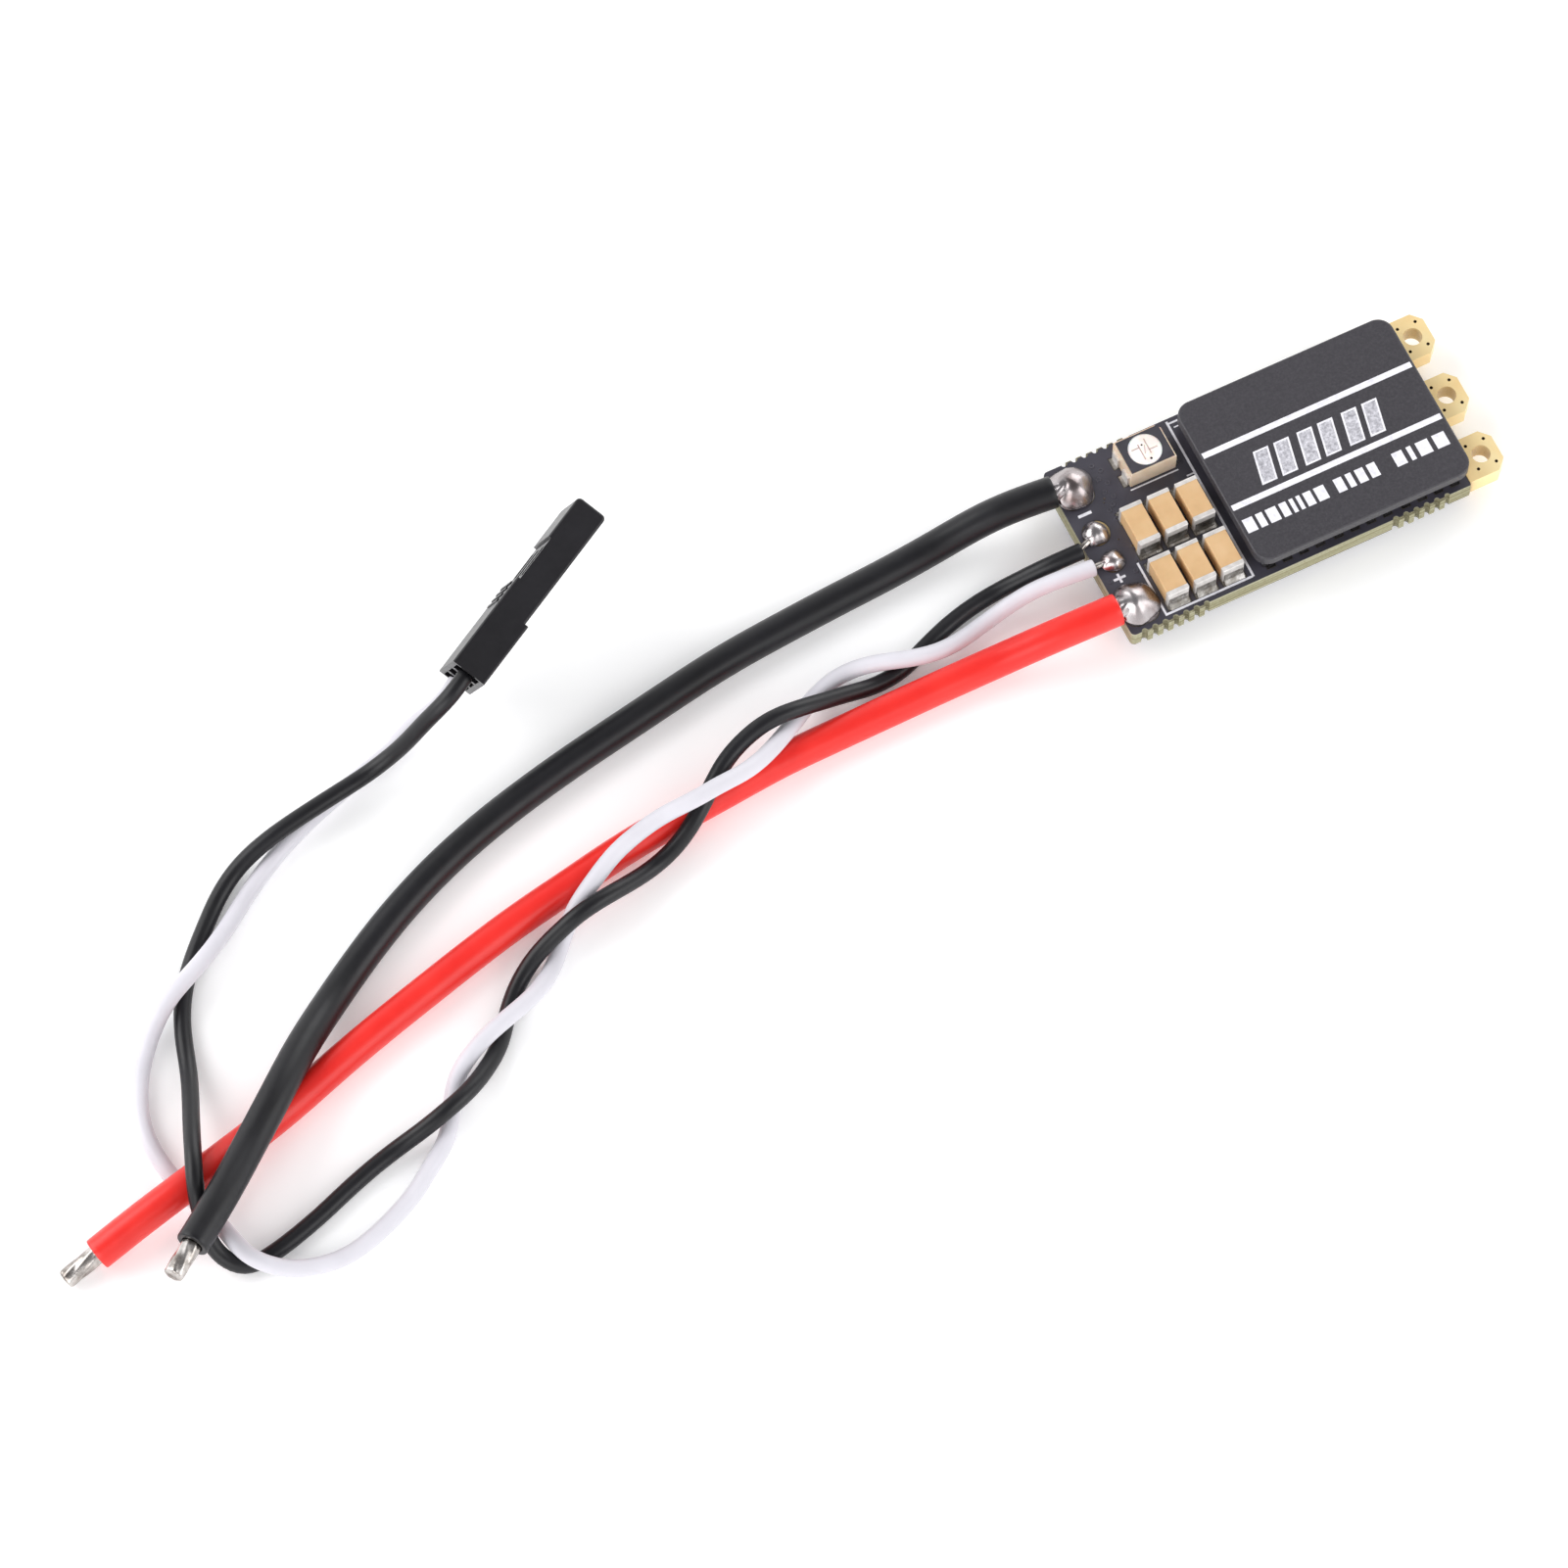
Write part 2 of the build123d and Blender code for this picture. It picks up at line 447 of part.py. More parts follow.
save("capacitor_end_caps", *cap_ends)
save("capacitor_solder", *cap_solder)

# -------------------------------------------------------------- status light
lx, ly = LED_C
house = box(lx - LED_L / 2, lx + LED_L / 2, ly - LED_W / 2, ly + LED_W / 2, ZT + 0.05, ZT + LED_H - 0.06)
house = chamfer(house.edges().filter_by(Axis.Z).sort_by(Axis.X)[-1], 0.35)
cup = Pos(lx, ly, ZT + LED_H - 0.06 - 0.5) * Cone(1.0, 1.2, 1.0)
house -= cup
led_terms = []
for sx in (-1, 1):
    for sy in (-1, 1):
        yc = ly + sy * 0.75
        x1 = lx + sx * LED_L / 2
        t = box(min(x1, x1 + sx * 0.16), max(x1, x1 + sx * 0.16), yc - 0.40, yc + 0.40, ZT, ZT + 1.05)
        t += box(min(x1 - sx * 0.55, x1 + sx * 0.16), max(x1 - sx * 0.55, x1 + sx * 0.16), yc - 0.40, yc + 0.40, ZT, ZT + 0.12)
        led_terms.append(t)
        house -= box(x1 - 0.60, x1 + 0.60, yc - 0.42, yc + 0.42, ZT, ZT + 0.13)
save("led_housing", house)
save("led_terminals", *led_terms)
frame_ = box(lx - LED_L / 2 + 0.10, lx + LED_L / 2 - 0.10, ly - LED_W / 2 + 0.10, ly + LED_W / 2 - 0.10, ZT + LED_H - 0.06, ZT + LED_H)
frame_ -= cyl(lx, ly, ZT + 1, ZT + 2.5, 1.2)
save("led_top_mask", frame_)
dies = [Pos(lx + dx, ly + dy, ZT + LED_H - 1.06 + 0.075) * Box(0.28, 0.28, 0.15) for dx, dy in ((-0.35, 0.1), (0.32, 0.28), (0.25, -0.35))]
fill = Pos(lx, ly, ZT + LED_H - 0.06 - 0.5) * Cone(1.0, 1.2, 1.0)
for d in dies:
    fill -= d
save("led_dies", *dies)
save("led_resin", fill)

# ----------------------------------------------------------- leads and solder
def lead_line(pts, end_dir=None):
    """Smooth curve through the knots; end_dir fixes the direction of arrival."""
    vs = [Vector(*p) for p in pts]
    if end_dir:
        vs[-2] = vs[-1] - end_dir * 2.0
    return Spline(*vs)


def start_at(pts, x):
    """Drop the knot nearer the board than x and start exactly on that plane."""
    a, b = pts[0], pts[1]
    t = (x - a[0]) / (b[0] - a[0])
    first = (x, a[1] + t * (b[1] - a[1]), a[2])
    return [first] + pts[1:]


def stations(line, step, skip=0.0, back=0.0, tip=0.0):
    """Points and directions along a lead; tip adds a straight end past it."""
    a, b = skip, line.length - back
    n = max(int(round((b - a) / step)), 4)
    out = []
    for i in range(n + 1):
        u = (a + (b - a) * i / n) / line.length
        out.append((line @ u, line % u))
    if tip > 0:
        p, d = out[-1]
        out += [(p + d * tip * 0.5, d), (p + d * tip, d)]
    return out


def ring_at(p, d, r, parts=1):
    side = Vector(0, 0, 1).cross(d).normalized()
    plane = Plane(origin=p, x_dir=side, z_dir=d)
    if parts == 1:
        return Wire([Edge.make_circle(r, plane)])
    a = 360 / parts
    return Wire([Edge.make_circle(r, plane, i * a, (i + 1) * a) for i in range(parts)])


def walls(st, r, parts=1):
    """Round wall along a lead, in short lofted lengths that share their end rings."""
    out = []
    for i in range(0, len(st) - 1, 6):
        piece = Solid.make_loft([ring_at(p, d, r, parts) for p, d in st[i:i + 7]])
        out += [f for f in piece.faces() if f.geom_type != GeomType.PLANE]
    return out


def rod(st, r, parts=1):
    ends = [Face(ring_at(p, d, r, parts)) for p, d in (st[0], st[-1])]
    return Solid(Shell(walls(st, r, parts) + ends))


def tube(st, r_out, r_in):
    """Hollow round sleeve: outer wall, bore wall and two flat end rings."""
    ends = [Face(ring_at(p, d, r_out), [ring_at(p, d, r_in)]) for p, d in (st[0], st[-1])]
    return Solid(Shell(walls(st, r_out) + walls(st, r_in) + ends))


def straight(a, b, r):
    a, b = Vector(*a), Vector(*b)
    return Plane(origin=a, z_dir=b - a) * (Pos(0, 0, (b - a).length / 2) * Cylinder(r, (b - a).length))


def dome(xc, yc, rx, ry, h):
    """Solder mound standing on the pads."""
    d = Pos(xc, yc, ZT) * scale(Sphere(1.0), (rx, ry, h))
    return d & box(xc - 5, xc + 5, yc - 5, yc + 5, ZT, ZT + 5)


neg = start_at(NEG_PATH, FLEX_X)
pos = start_at(POS_PATH, FLEX_X - 0.25)
gnd = start_at(GND_PATH, FLEX_X)
sig = start_at(SIG_PATH, FLEX_X)
for nm, pts in (("power_lead_negative", neg), ("power_lead_positive", pos)):
    line = lead_line(pts)
    save(nm + "_insulation", tube(stations(line, 2.0), POWER_R, POWER_BORE))
    save(nm + "_conductor", rod(stations(line, 2.0, 0.8, 0.0, TIP_L), POWER_CORE))
for nm, pts in (("ground_lead", gnd), ("signal_lead", sig)):
    line = lead_line(pts, PLUG_A)
    save(nm + "_insulation", tube(stations(line, 1.0), THIN_R, THIN_BORE))
    save(nm + "_conductor", rod(stations(line, 1.0, 0.8, 0.9), THIN_CORE + 0.04, 4))

# bare tinned ends of the leads, soldered to the board
GAP_X = 0.08
tails = {
    "negative": (straight((neg[0][0] + GAP_X, neg[0][1], neg[0][2]), (-25.95, NEG_PAD[1], ZT + 0.62), 0.55),
                 dome(-26.85, 4.92, 1.32, 1.52, 1.28)),
    "positive": (straight((pos[0][0] + GAP_X, pos[0][1], pos[0][2]), (-25.95, POS_PAD[1], ZT + 0.62), 0.55),
                 dome(-26.80, -4.92, 1.40, 1.50, 1.28)),
    "ground": (straight((gnd[0][0] + GAP_X, gnd[0][1], gnd[0][2]), (-26.25, GND_PAD[1] - 0.10, ZT + 0.26), 0.20),
               dome(GND_PAD[0], GND_PAD[1], 0.86, 0.86, 0.72)),
    "signal": (straight((sig[0][0] + GAP_X, sig[0][1], sig[0][2]), (-26.25, SIG_PAD[1], ZT + 0.26), 0.20),
               dome(SIG_PAD[0], SIG_PAD[1], 0.74, 0.72, 0.66)),
}
for nm, (tail, mound) in tails.items():
    save("solder_joint_" + nm, mound - tail)
save("lead_tails", *[t for t, m in tails.values()])

# ---------------------------------------------------------------- servo plug
P = Plane(origin=PLUG_O, x_dir=PLUG_A, z_dir=PLUG_N)
WAYS = [PLUG_W / 2 - WAY_PITCH, PLUG_W / 2, PLUG_W / 2 + WAY_PITCH]
Z1 = PLUG_Z0 + PLUG_T
slim = box(0, PLUG_L, 0, PLUG_W, PLUG_Z0, Z1)
slim = fillet(slim.edges().filter_by(Axis.Y).sort_by(Axis.X)[-2:], 0.35)
slim = fillet(slim.edges().filter_by(Axis.X), 0.18)
flare = box(0, PLUG_FLARE_L, 0, PLUG_W, PLUG_Z0 - PLUG_FLARE, PLUG_Z0 + 0.4)
flare = fillet(flare.edges().filter_by(Axis.X).sort_by(Axis.Z)[:2], 0.15)
shell = slim + flare
# shallow recess across the latch windows
shell -= box(7.3, 10.8, -1, PLUG_W + 1, Z1 - 0.22, Z1 + 1)
ZW = PLUG_Z0 + PLUG_T / 2
for y in WAYS:
    shell -= box(-1, 2.0, y - 0.95, y + 0.95, -0.95, 0.95)                 # wire entry
    shell -= box(1.9, PLUG_L - 0.9, y - 1.0, y + 1.0, ZW - 0.85, ZW + 0.85)   # way
    shell -= box(PLUG_L - 1.5, PLUG_L + 1, y - 0.42, y + 0.42, ZW - 0.42, ZW + 0.42)  # pin entry
    shell -= box(7.7, 10.2, y - 0.70, y + 0.70, ZW, Z1 + 1)                # latch window
for i in range(4):                                                        # finger ridges
    shell += box(5.3 + 0.5 * i, 5.5 + 0.5 * i, 1.3, PLUG_W - 1.3, Z1 - 0.1, Z1 + 0.10)
save("plug_housing", P * shell)


def contact(y):
    c = box(5.6, PLUG_L - 1.05, y - 0.80, y + 0.80, ZW - 0.65, ZW + 0.65)
    c -= box(5.4, PLUG_L + 1, y - 0.62, y + 0.62, ZW - 0.47, ZW + 0.47)
    c += box(8.0, 8.8, y - 0.35, y + 0.35, ZW + 0.60, ZW + 0.80)           # locking lance
    c += box(4.6, 6.4, y - 0.45, y + 0.45, ZW - 0.65, ZW - 0.50)
    barrel = box(3.3, 5.2, y - 0.55, y + 0.55, -0.52, 0.52) - box(3.0, 6.0, y - 0.30, y + 0.30, -0.30, 0.30)
    return c + barrel


save("plug_contact_ground", P * contact(WAYS[0]))
save("plug_contact_signal", P * contact(WAYS[2]))
for nm, y in (("ground", WAYS[0]), ("signal", WAYS[2])):
    tail = Pos(0, y, 0) * (Rot(0, 90, 0) * (Pos(0, 0, 2.05) * (Cylinder(THIN_R - 0.02, 2.1) - Cylinder(THIN_BORE, 3))))
    wire = Pos(0, y, 0) * (Rot(0, 90, 0) * (Pos(0, 0, 3.0) * Cylinder(THIN_CORE, 4.0)))
    save(nm + "_wire_tail_insulation", P * tail)
    save(nm + "_wire_tail_conductor", P * wire)
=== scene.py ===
import json
import math
import bpy
import numpy as np
from mathutils import Matrix, Vector


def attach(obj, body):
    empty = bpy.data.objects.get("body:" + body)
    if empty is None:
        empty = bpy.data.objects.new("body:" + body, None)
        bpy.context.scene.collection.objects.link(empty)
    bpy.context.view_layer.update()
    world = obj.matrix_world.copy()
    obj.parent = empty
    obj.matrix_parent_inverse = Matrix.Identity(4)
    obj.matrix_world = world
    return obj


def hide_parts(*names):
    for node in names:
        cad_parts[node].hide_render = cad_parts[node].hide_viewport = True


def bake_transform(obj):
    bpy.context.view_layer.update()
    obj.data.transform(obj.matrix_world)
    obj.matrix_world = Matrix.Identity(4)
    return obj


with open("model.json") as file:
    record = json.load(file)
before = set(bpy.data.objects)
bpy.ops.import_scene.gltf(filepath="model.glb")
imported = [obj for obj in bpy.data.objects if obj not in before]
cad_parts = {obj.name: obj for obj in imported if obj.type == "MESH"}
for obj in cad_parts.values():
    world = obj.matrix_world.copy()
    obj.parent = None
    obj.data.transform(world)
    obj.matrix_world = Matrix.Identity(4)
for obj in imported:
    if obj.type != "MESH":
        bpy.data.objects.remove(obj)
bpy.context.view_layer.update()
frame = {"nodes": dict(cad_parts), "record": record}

MM = 0.001
scene = bpy.context.scene
nodes = frame["nodes"]

# lead centre lines in millimetres, the same as the CAD leads
NEG_PATH = [
    (-28.51, 5.11, 1.42), (-32.66, 5.53, 0.91), (-36.68, 5.65, -0.30), (-40.86, 5.38, -0.63), (-45.06, 5.10, -0.63),
    (-49.26, 4.78, -0.63), (-53.45, 4.37, -0.63), (-57.61, 3.72, -0.63), (-61.75, 2.97, -0.63), (-65.90, 2.21, -0.63),
    (-70.01, 1.33, -0.63), (-74.08, 0.26, -0.63), (-78.06, -1.11, -0.63), (-81.91, -2.82, -0.63), (-85.60, -4.85, -0.63),
    (-89.08, -7.16, -0.20), (-92.24, -9.67, 0.98), (-95.32, -12.38, 1.88), (-98.52, -15.09, 2.31), (-101.67, -17.78, 3.05),
    (-104.99, -20.31, 3.57),
]
POS_PATH = [
    (-28.95, -4.84, 1.42), (-33.06, -4.56, 0.84), (-37.03, -4.05, -0.38), (-41.19, -3.96, -0.63), (-45.38, -4.01, -0.63),
    (-49.56, -4.07, -0.63), (-53.74, -4.19, -0.63), (-57.91, -4.55, -0.63), (-62.08, -4.92, -0.63), (-66.23, -5.40, -0.63),
    (-70.35, -6.14, -0.63), (-74.46, -6.91, -0.63), (-78.54, -7.86, -0.63), (-82.58, -8.93, -0.63), (-86.62, -10.04, -0.63),
    (-90.62, -11.25, -0.63), (-94.60, -12.54, -0.63), (-98.54, -13.80, -0.08), (-102.46, -15.01, 0.71), (-106.52, -15.84, 0.33),
    (-110.53, -16.57, -0.63),
]
GND_PATH = [
    (-28.62, 0.32, 1.10), (-30.75, 0.48, 0.67), (-32.69, 0.80, -0.30), (-34.72, 0.97, -1.09), (-36.89, 0.67, -1.18),
    (-39.01, 0.09, -1.18), (-41.06, -0.69, -1.18), (-43.13, -1.44, -1.18), (-45.30, -1.69, -1.09), (-47.35, -1.74, -0.36),
    (-49.28, -1.92, 0.68), (-51.24, -2.09, 1.66), (-53.39, -2.16, 2.00), (-55.52, -2.57, 1.79), (-57.52, -3.46, 1.56),
    (-59.28, -4.74, 1.32), (-61.00, -6.02, 0.87), (-62.83, -6.95, 0.10), (-64.88, -7.58, -0.28), (-66.92, -8.15, 0.26),
    (-68.95, -8.64, 0.96), (-71.08, -9.04, 1.08), (-73.10, -9.43, 0.33), (-75.03, -10.00, -0.53), (-76.83, -11.09, -1.13),
    (-78.35, -12.66, -1.18), (-79.73, -14.37, -1.15), (-81.36, -15.78, -0.75), (-83.14, -16.91, -0.16), (-85.15, -17.70, 0.13),
    (-87.23, -18.09, -0.42), (-89.32, -18.34, -1.06), (-91.44, -18.86, -1.18), (-93.53, -19.54, -1.18), (-95.60, -20.28, -1.18),
    (-97.70, -20.93, -1.18), (-99.83, -21.44, -1.18), (-102.00, -21.37, -1.12), (-103.27, -19.93, -0.30), (-103.37, -18.21, 1.06),
    (-103.01, -16.45, 2.30), (-102.27, -14.43, 2.55), (-101.53, -12.48, 1.89), (-100.83, -10.66, 0.88), (-100.13, -8.85, -0.15),
    (-99.46, -6.92, -0.94), (-98.83, -4.84, -1.18), (-98.02, -2.80, -1.18), (-96.87, -0.93, -1.18), (-95.45, 0.74, -1.18),
    (-93.90, 2.30, -1.18), (-92.28, 3.78, -1.17), (-90.44, 4.90, -0.83), (-88.42, 5.52, -0.25), (-86.29, 5.93, 0.11),
    (-84.13, 6.30, 0.18), (-81.97, 6.68, 0.13), (-79.80, 7.03, 0.16), (-77.82, 7.18, 1.02), (-76.31, 7.12, 2.60),
    (-74.93, 7.11, 4.32), (-73.29, 7.40, 5.72), (-71.34, 8.20, 6.29),
]
SIG_PATH = [
    (-28.50, -1.16, 1.10), (-30.68, -0.93, 0.96), (-32.73, -0.62, 0.22), (-34.71, -0.55, -0.73), (-36.83, -0.87, -1.13),
    (-38.93, -1.41, -0.73), (-41.04, -1.60, -0.14), (-43.16, -1.18, 0.13), (-45.12, -0.37, -0.42), (-47.21, -0.05, -0.97),
    (-49.24, -0.75, -0.64), (-50.98, -1.88, 0.12), (-52.69, -3.02, 0.90), (-54.54, -4.06, 1.48), (-56.55, -4.81, 1.97),
    (-58.67, -5.18, 2.45), (-60.84, -5.38, 2.43), (-62.97, -5.29, 1.86), (-65.11, -5.55, 1.43), (-67.20, -6.19, 1.22),
    (-69.16, -7.14, 0.88), (-70.98, -8.09, 0.08), (-72.53, -9.28, -0.91), (-74.04, -10.84, -1.12), (-75.75, -12.14, -0.66),
    (-77.67, -13.06, -0.10), (-79.74, -13.74, 0.09), (-81.75, -14.41, -0.48), (-83.53, -15.54, -1.08), (-84.76, -17.35, -1.18),
    (-86.03, -19.13, -1.18), (-87.78, -20.47, -1.18), (-89.60, -21.72, -1.18), (-91.58, -22.67, -1.18), (-93.66, -23.42, -1.18),
    (-95.83, -23.77, -1.18), (-98.00, -23.53, -0.98), (-99.98, -22.87, -0.28), (-101.47, -21.40, 0.10), (-102.02, -19.35, -0.42),
    (-102.49, -17.30, -1.05), (-103.18, -15.21, -1.18), (-103.74, -13.08, -1.18), (-103.99, -10.89, -1.18), (-103.74, -8.71, -1.18),
    (-102.93, -6.66, -1.18), (-101.75, -4.81, -1.17), (-100.27, -3.25, -0.76), (-98.55, -2.07, -0.06), (-96.59, -1.12, 0.11),
    (-94.72, -0.03, -0.31), (-92.96, 1.20, -0.82), (-91.24, 2.52, -1.16), (-89.41, 3.75, -1.18), (-87.49, 4.83, -1.18),
    (-85.49, 5.77, -1.18), (-83.44, 6.56, -1.18), (-81.34, 7.24, -1.18), (-79.23, 7.90, -1.18), (-77.15, 8.57, -1.04),
    (-75.24, 9.10, -0.11), (-73.42, 9.64, 1.01), (-71.35, 10.09, 1.57),
]

ZT = 0.8                     # board top
A = np.array([0.87885, 0.44324, 0.17652]); A /= np.linalg.norm(A)
W = np.array([-0.00038, 0.37063, -0.92878]); W = W - A * (A @ W); W /= np.linalg.norm(W)
N = np.cross(A, W)


# ------------------------------------------------------------------ materials
class M:
    """Small helper that builds one procedural material."""

    def __init__(self, name):
        self.m = bpy.data.materials.new(name)
        self.m.use_nodes = True
        self.t = self.m.node_tree
        self.b = self.t.nodes["Principled BSDF"]
        self.co = self.t.nodes.new("ShaderNodeTexCoord").outputs["Object"]

    def node(self, kind, **inputs):
        n = self.t.nodes.new(kind)
        for k, v in inputs.items():
            n.inputs[k.replace("_", " ")].default_value = v
        return n

    def link(self, a, b):
        self.t.links.new(a, b)

    def set(self, **kw):
        for k, v in kw.items():
            self.b.inputs[k.replace("_", " ")].default_value = v
        return self

    def mapped(self, scale=(1, 1, 1), rot=(0, 0, 0)):
        mp = self.t.nodes.new("ShaderNodeMapping")
        mp.inputs["Scale"].default_value = scale
        mp.inputs["Rotation"].default_value = rot
        self.link(self.co, mp.inputs["Vector"])
        return mp.outputs["Vector"]

    def noise(self, scale, detail=3.0, rough=0.55, vec=None, distortion=0.0):
        n = self.node("ShaderNodeTexNoise", Scale=scale, Detail=detail, Roughness=rough, Distortion=distortion)
        self.link(vec or self.co, n.inputs["Vector"])
        return n.outputs["Fac"]

    def voronoi(self, scale, feature="F1", vec=None):
        n = self.node("ShaderNodeTexVoronoi", Scale=scale)
        n.feature = feature
        self.link(vec or self.co, n.inputs["Vector"])
        return n.outputs["Distance"]

    def ramp(self, fac, stops):
        r = self.t.nodes.new("ShaderNodeValToRGB")
        e = r.color_ramp.elements
        while len(e) < len(stops):
            e.new(0.5)
        for i, (p, c) in enumerate(stops):
            e[i].position = p
            e[i].color = (*c, 1.0) if len(c) == 3 else c
        self.link(fac, r.inputs["Fac"])
        return r.outputs["Color"]

    def color(self, out):
        self.link(out, self.b.inputs["Base Color"])
        return self

    def rough(self, fac, lo, hi):
        mr = self.node("ShaderNodeMapRange")
        mr.inputs["To Min"].default_value = lo
        mr.inputs["To Max"].default_value = hi
        self.link(fac, mr.inputs["Value"])
        self.link(mr.outputs["Result"], self.b.inputs["Roughness"])
        return self

    def bump(self, fac, dist_mm, strength=1.0, under=None):
        n = self.node("ShaderNodeBump", Strength=strength, Distance=dist_mm * MM)
        self.link(fac, n.inputs["Height"])
        if under is not None:
            self.link(under, n.inputs["Normal"])
        self.link(n.outputs["Normal"], self.b.inputs["Normal"])
        return n.outputs["Normal"]

    def painted_cavity_shade(self, dist_mm, out, dark, power=1.0):
        """Painted shade: darker colour in holes and grooves, mixed in through an occlusion mask."""
        ao = self.node("ShaderNodeAmbientOcclusion", Distance=dist_mm * MM)
        ao.samples = 8
        g = self.node("ShaderNodeMath")
        g.operation = "POWER"
        g.inputs[1].default_value = power
        self.link(ao.outputs["AO"], g.inputs[0])
        return self.mix(g.outputs["Value"], dark, out)

    def mix(self, fac, a, b, mode="MIX"):
        n = self.t.nodes.new("ShaderNodeMix")
        n.data_type = "RGBA"
        n.blend_type = mode
        for key, v in (("Factor", fac), ("A", a), ("B", b)):
            sock = [s for s in n.inputs if s.name == key and (s.type == "RGBA" or key == "Factor" and s.type == "VALUE")][0]
            if isinstance(v, (int, float)):
                sock.default_value = v
            elif isinstance(v, tuple):
                sock.default_value = (*v, 1.0)
            else:
                self.link(v, sock)
        return [s for s in n.outputs if s.type == "RGBA"][0]


def srgb(r, g, b):
    f = lambda c: c / 12.92 if c <= 0.04045 else ((c + 0.055) / 1.055) ** 2.4
    return tuple(f(x / 255.0) for x in (r, g, b))


mats = {}

m = M("solder_mask"); mats["solder_mask"] = m.m
n1 = m.noise(260.0, 2.0)
m.color(m.ramp(n1, [(0.3, srgb(56, 54, 63)), (0.7, srgb(69, 67, 77))]))
m.rough(m.noise(900.0), 0.30, 0.46)
vec = m.mapped((1.0, 1.0, 0.0))
tr = m.ramp(m.noise(420.0, 1.0, 0.2, vec), [(0.47, (0, 0, 0)), (0.52, (1, 1, 1))])
nb = m.bump(tr, 0.025, 0.5)
m.bump(m.noise(3500.0, 3.0), 0.006, 0.4, nb)
m.set(Coat_Weight=0.25, Coat_Roughness=0.25)

m = M("laminate"); mats["laminate"] = m.m
vz = m.mapped((60.0, 60.0, 5200.0))
layers = m.noise(1.0, 2.0, 0.6, vz)
weave = m.noise(5200.0, 2.0)
c = m.ramp(layers, [(0.30, srgb(118, 112, 78)), (0.50, srgb(156, 154, 122)), (0.72, srgb(186, 184, 158))])
c = m.mix(m.ramp(weave, [(0.35, (0.0,) * 3), (0.8, (0.5,) * 3)]), c, srgb(112, 98, 62))
# painted shade: darker brown in holes and the break-off perforations, from the occlusion mask
m.color(m.painted_cavity_shade(0.35, c, srgb(70, 56, 30), 1.5))
m.rough(weave, 0.55, 0.85)
m.bump(layers, 0.03, 0.6)

m = M("white_ink"); mats["white_ink"] = m.m
m.color(m.ramp(m.noise(2600.0, 3.0), [(0.30, srgb(216, 215, 222)), (0.6, srgb(238, 237, 243))]))
m.rough(m.noise(1500.0), 0.5, 0.7)
m.bump(m.noise(4200.0, 2.0), 0.006, 0.6)

m = M("silver_ink"); mats["silver_ink"] = m.m
sp = m.noise(3600.0, 4.0, 0.75)
m.color(m.ramp(sp, [(0.36, srgb(150, 149, 156)), (0.50, srgb(188, 187, 194)), (0.66, srgb(222, 221, 228))]))
m.rough(sp, 0.35, 0.6)
m.bump(sp, 0.012, 0.8)
m.set(Metallic=0.15)

m = M("gold_plate"); mats["gold_plate"] = m.m
gn = m.noise(300.0, 2.0)
gc = m.ramp(gn, [(0.25, srgb(252, 217, 154)), (0.55, srgb(255, 229, 170)), (0.8, srgb(255, 238, 188))])
# painted shade: dark brown in the via bores and corners of the gold, from the occlusion mask
m.color(m.painted_cavity_shade(0.75, gc, srgb(70, 40, 14), 3.2))
m.set(Metallic=0.30)
m.rough(m.noise(900.0, 2.0), 0.28, 0.38)
m.bump(m.noise(1200.0, 1.0), 0.003, 0.25)

m = M("black_epoxy"); mats["black_epoxy"] = m.m
m.color(m.ramp(m.noise(3000.0, 4.0), [(0.3, srgb(28, 27, 29)), (0.7, srgb(46, 45, 48))]))
m.rough(m.noise(2500.0), 0.5, 0.75)
m.bump(m.noise(5200.0, 4.0), 0.012, 0.8)

m = M("tin_plate"); mats["tin_plate"] = m.m
m.color(m.ramp(m.noise(1800.0, 3.0), [(0.3, srgb(204, 200, 196)), (0.7, srgb(236, 232, 229))]))
m.set(Metallic=0.40)
m.rough(m.noise(2600.0), 0.26, 0.50)
m.bump(m.noise(2600.0, 3.0), 0.012, 0.6)

m = M("cap_solder"); mats["cap_solder"] = m.m
m.color(m.ramp(m.noise(1500.0, 4.0), [(0.3, srgb(112, 106, 98)), (0.55, srgb(168, 164, 158)), (0.75, srgb(226, 224, 222))]))
m.set(Metallic=0.9)
m.rough(m.noise(2100.0), 0.18, 0.42)
m.bump(m.noise(1700.0, 3.0), 0.03, 0.7)

m = M("solder"); mats["solder"] = m.m
big = m.noise(420.0, 3.0, 0.5, None, 0.5)
m.color(m.ramp(big, [(0.30, srgb(118, 100, 96)), (0.43, srgb(164, 156, 156)), (0.60, srgb(196, 191, 192)), (0.75, srgb(176, 160, 160))]))
m.set(Metallic=1.0)
m.rough(m.noise(500.0, 2.0), 0.20, 0.33)
m.bump(m.noise(300.0, 1.0, 0.3), 0.02, 0.3)

m = M("tan_ceramic"); mats["tan_ceramic"] = m.m
cn = m.noise(420.0, 3.0)
m.color(m.ramp(cn, [(0.25, srgb(193, 155, 110)), (0.5, srgb(206, 169, 123)), (0.8, srgb(214, 180, 137))]))
m.rough(m.noise(1800.0), 0.42, 0.6)
m.bump(m.noise(5200.0, 3.0), 0.008, 0.6)
m.set(Subsurface_Weight=0.06, Subsurface_Scale=0.0004)

m = M("thermal_pad"); mats["thermal_pad"] = m.m
m.color(m.ramp(m.noise(2600.0, 3.0), [(0.3, srgb(70, 70, 76)), (0.7, srgb(92, 92, 98))]))
m.rough(m.noise(900.0), 0.7, 0.9)
m.bump(m.noise(2600.0, 3.0), 0.02, 0.7)

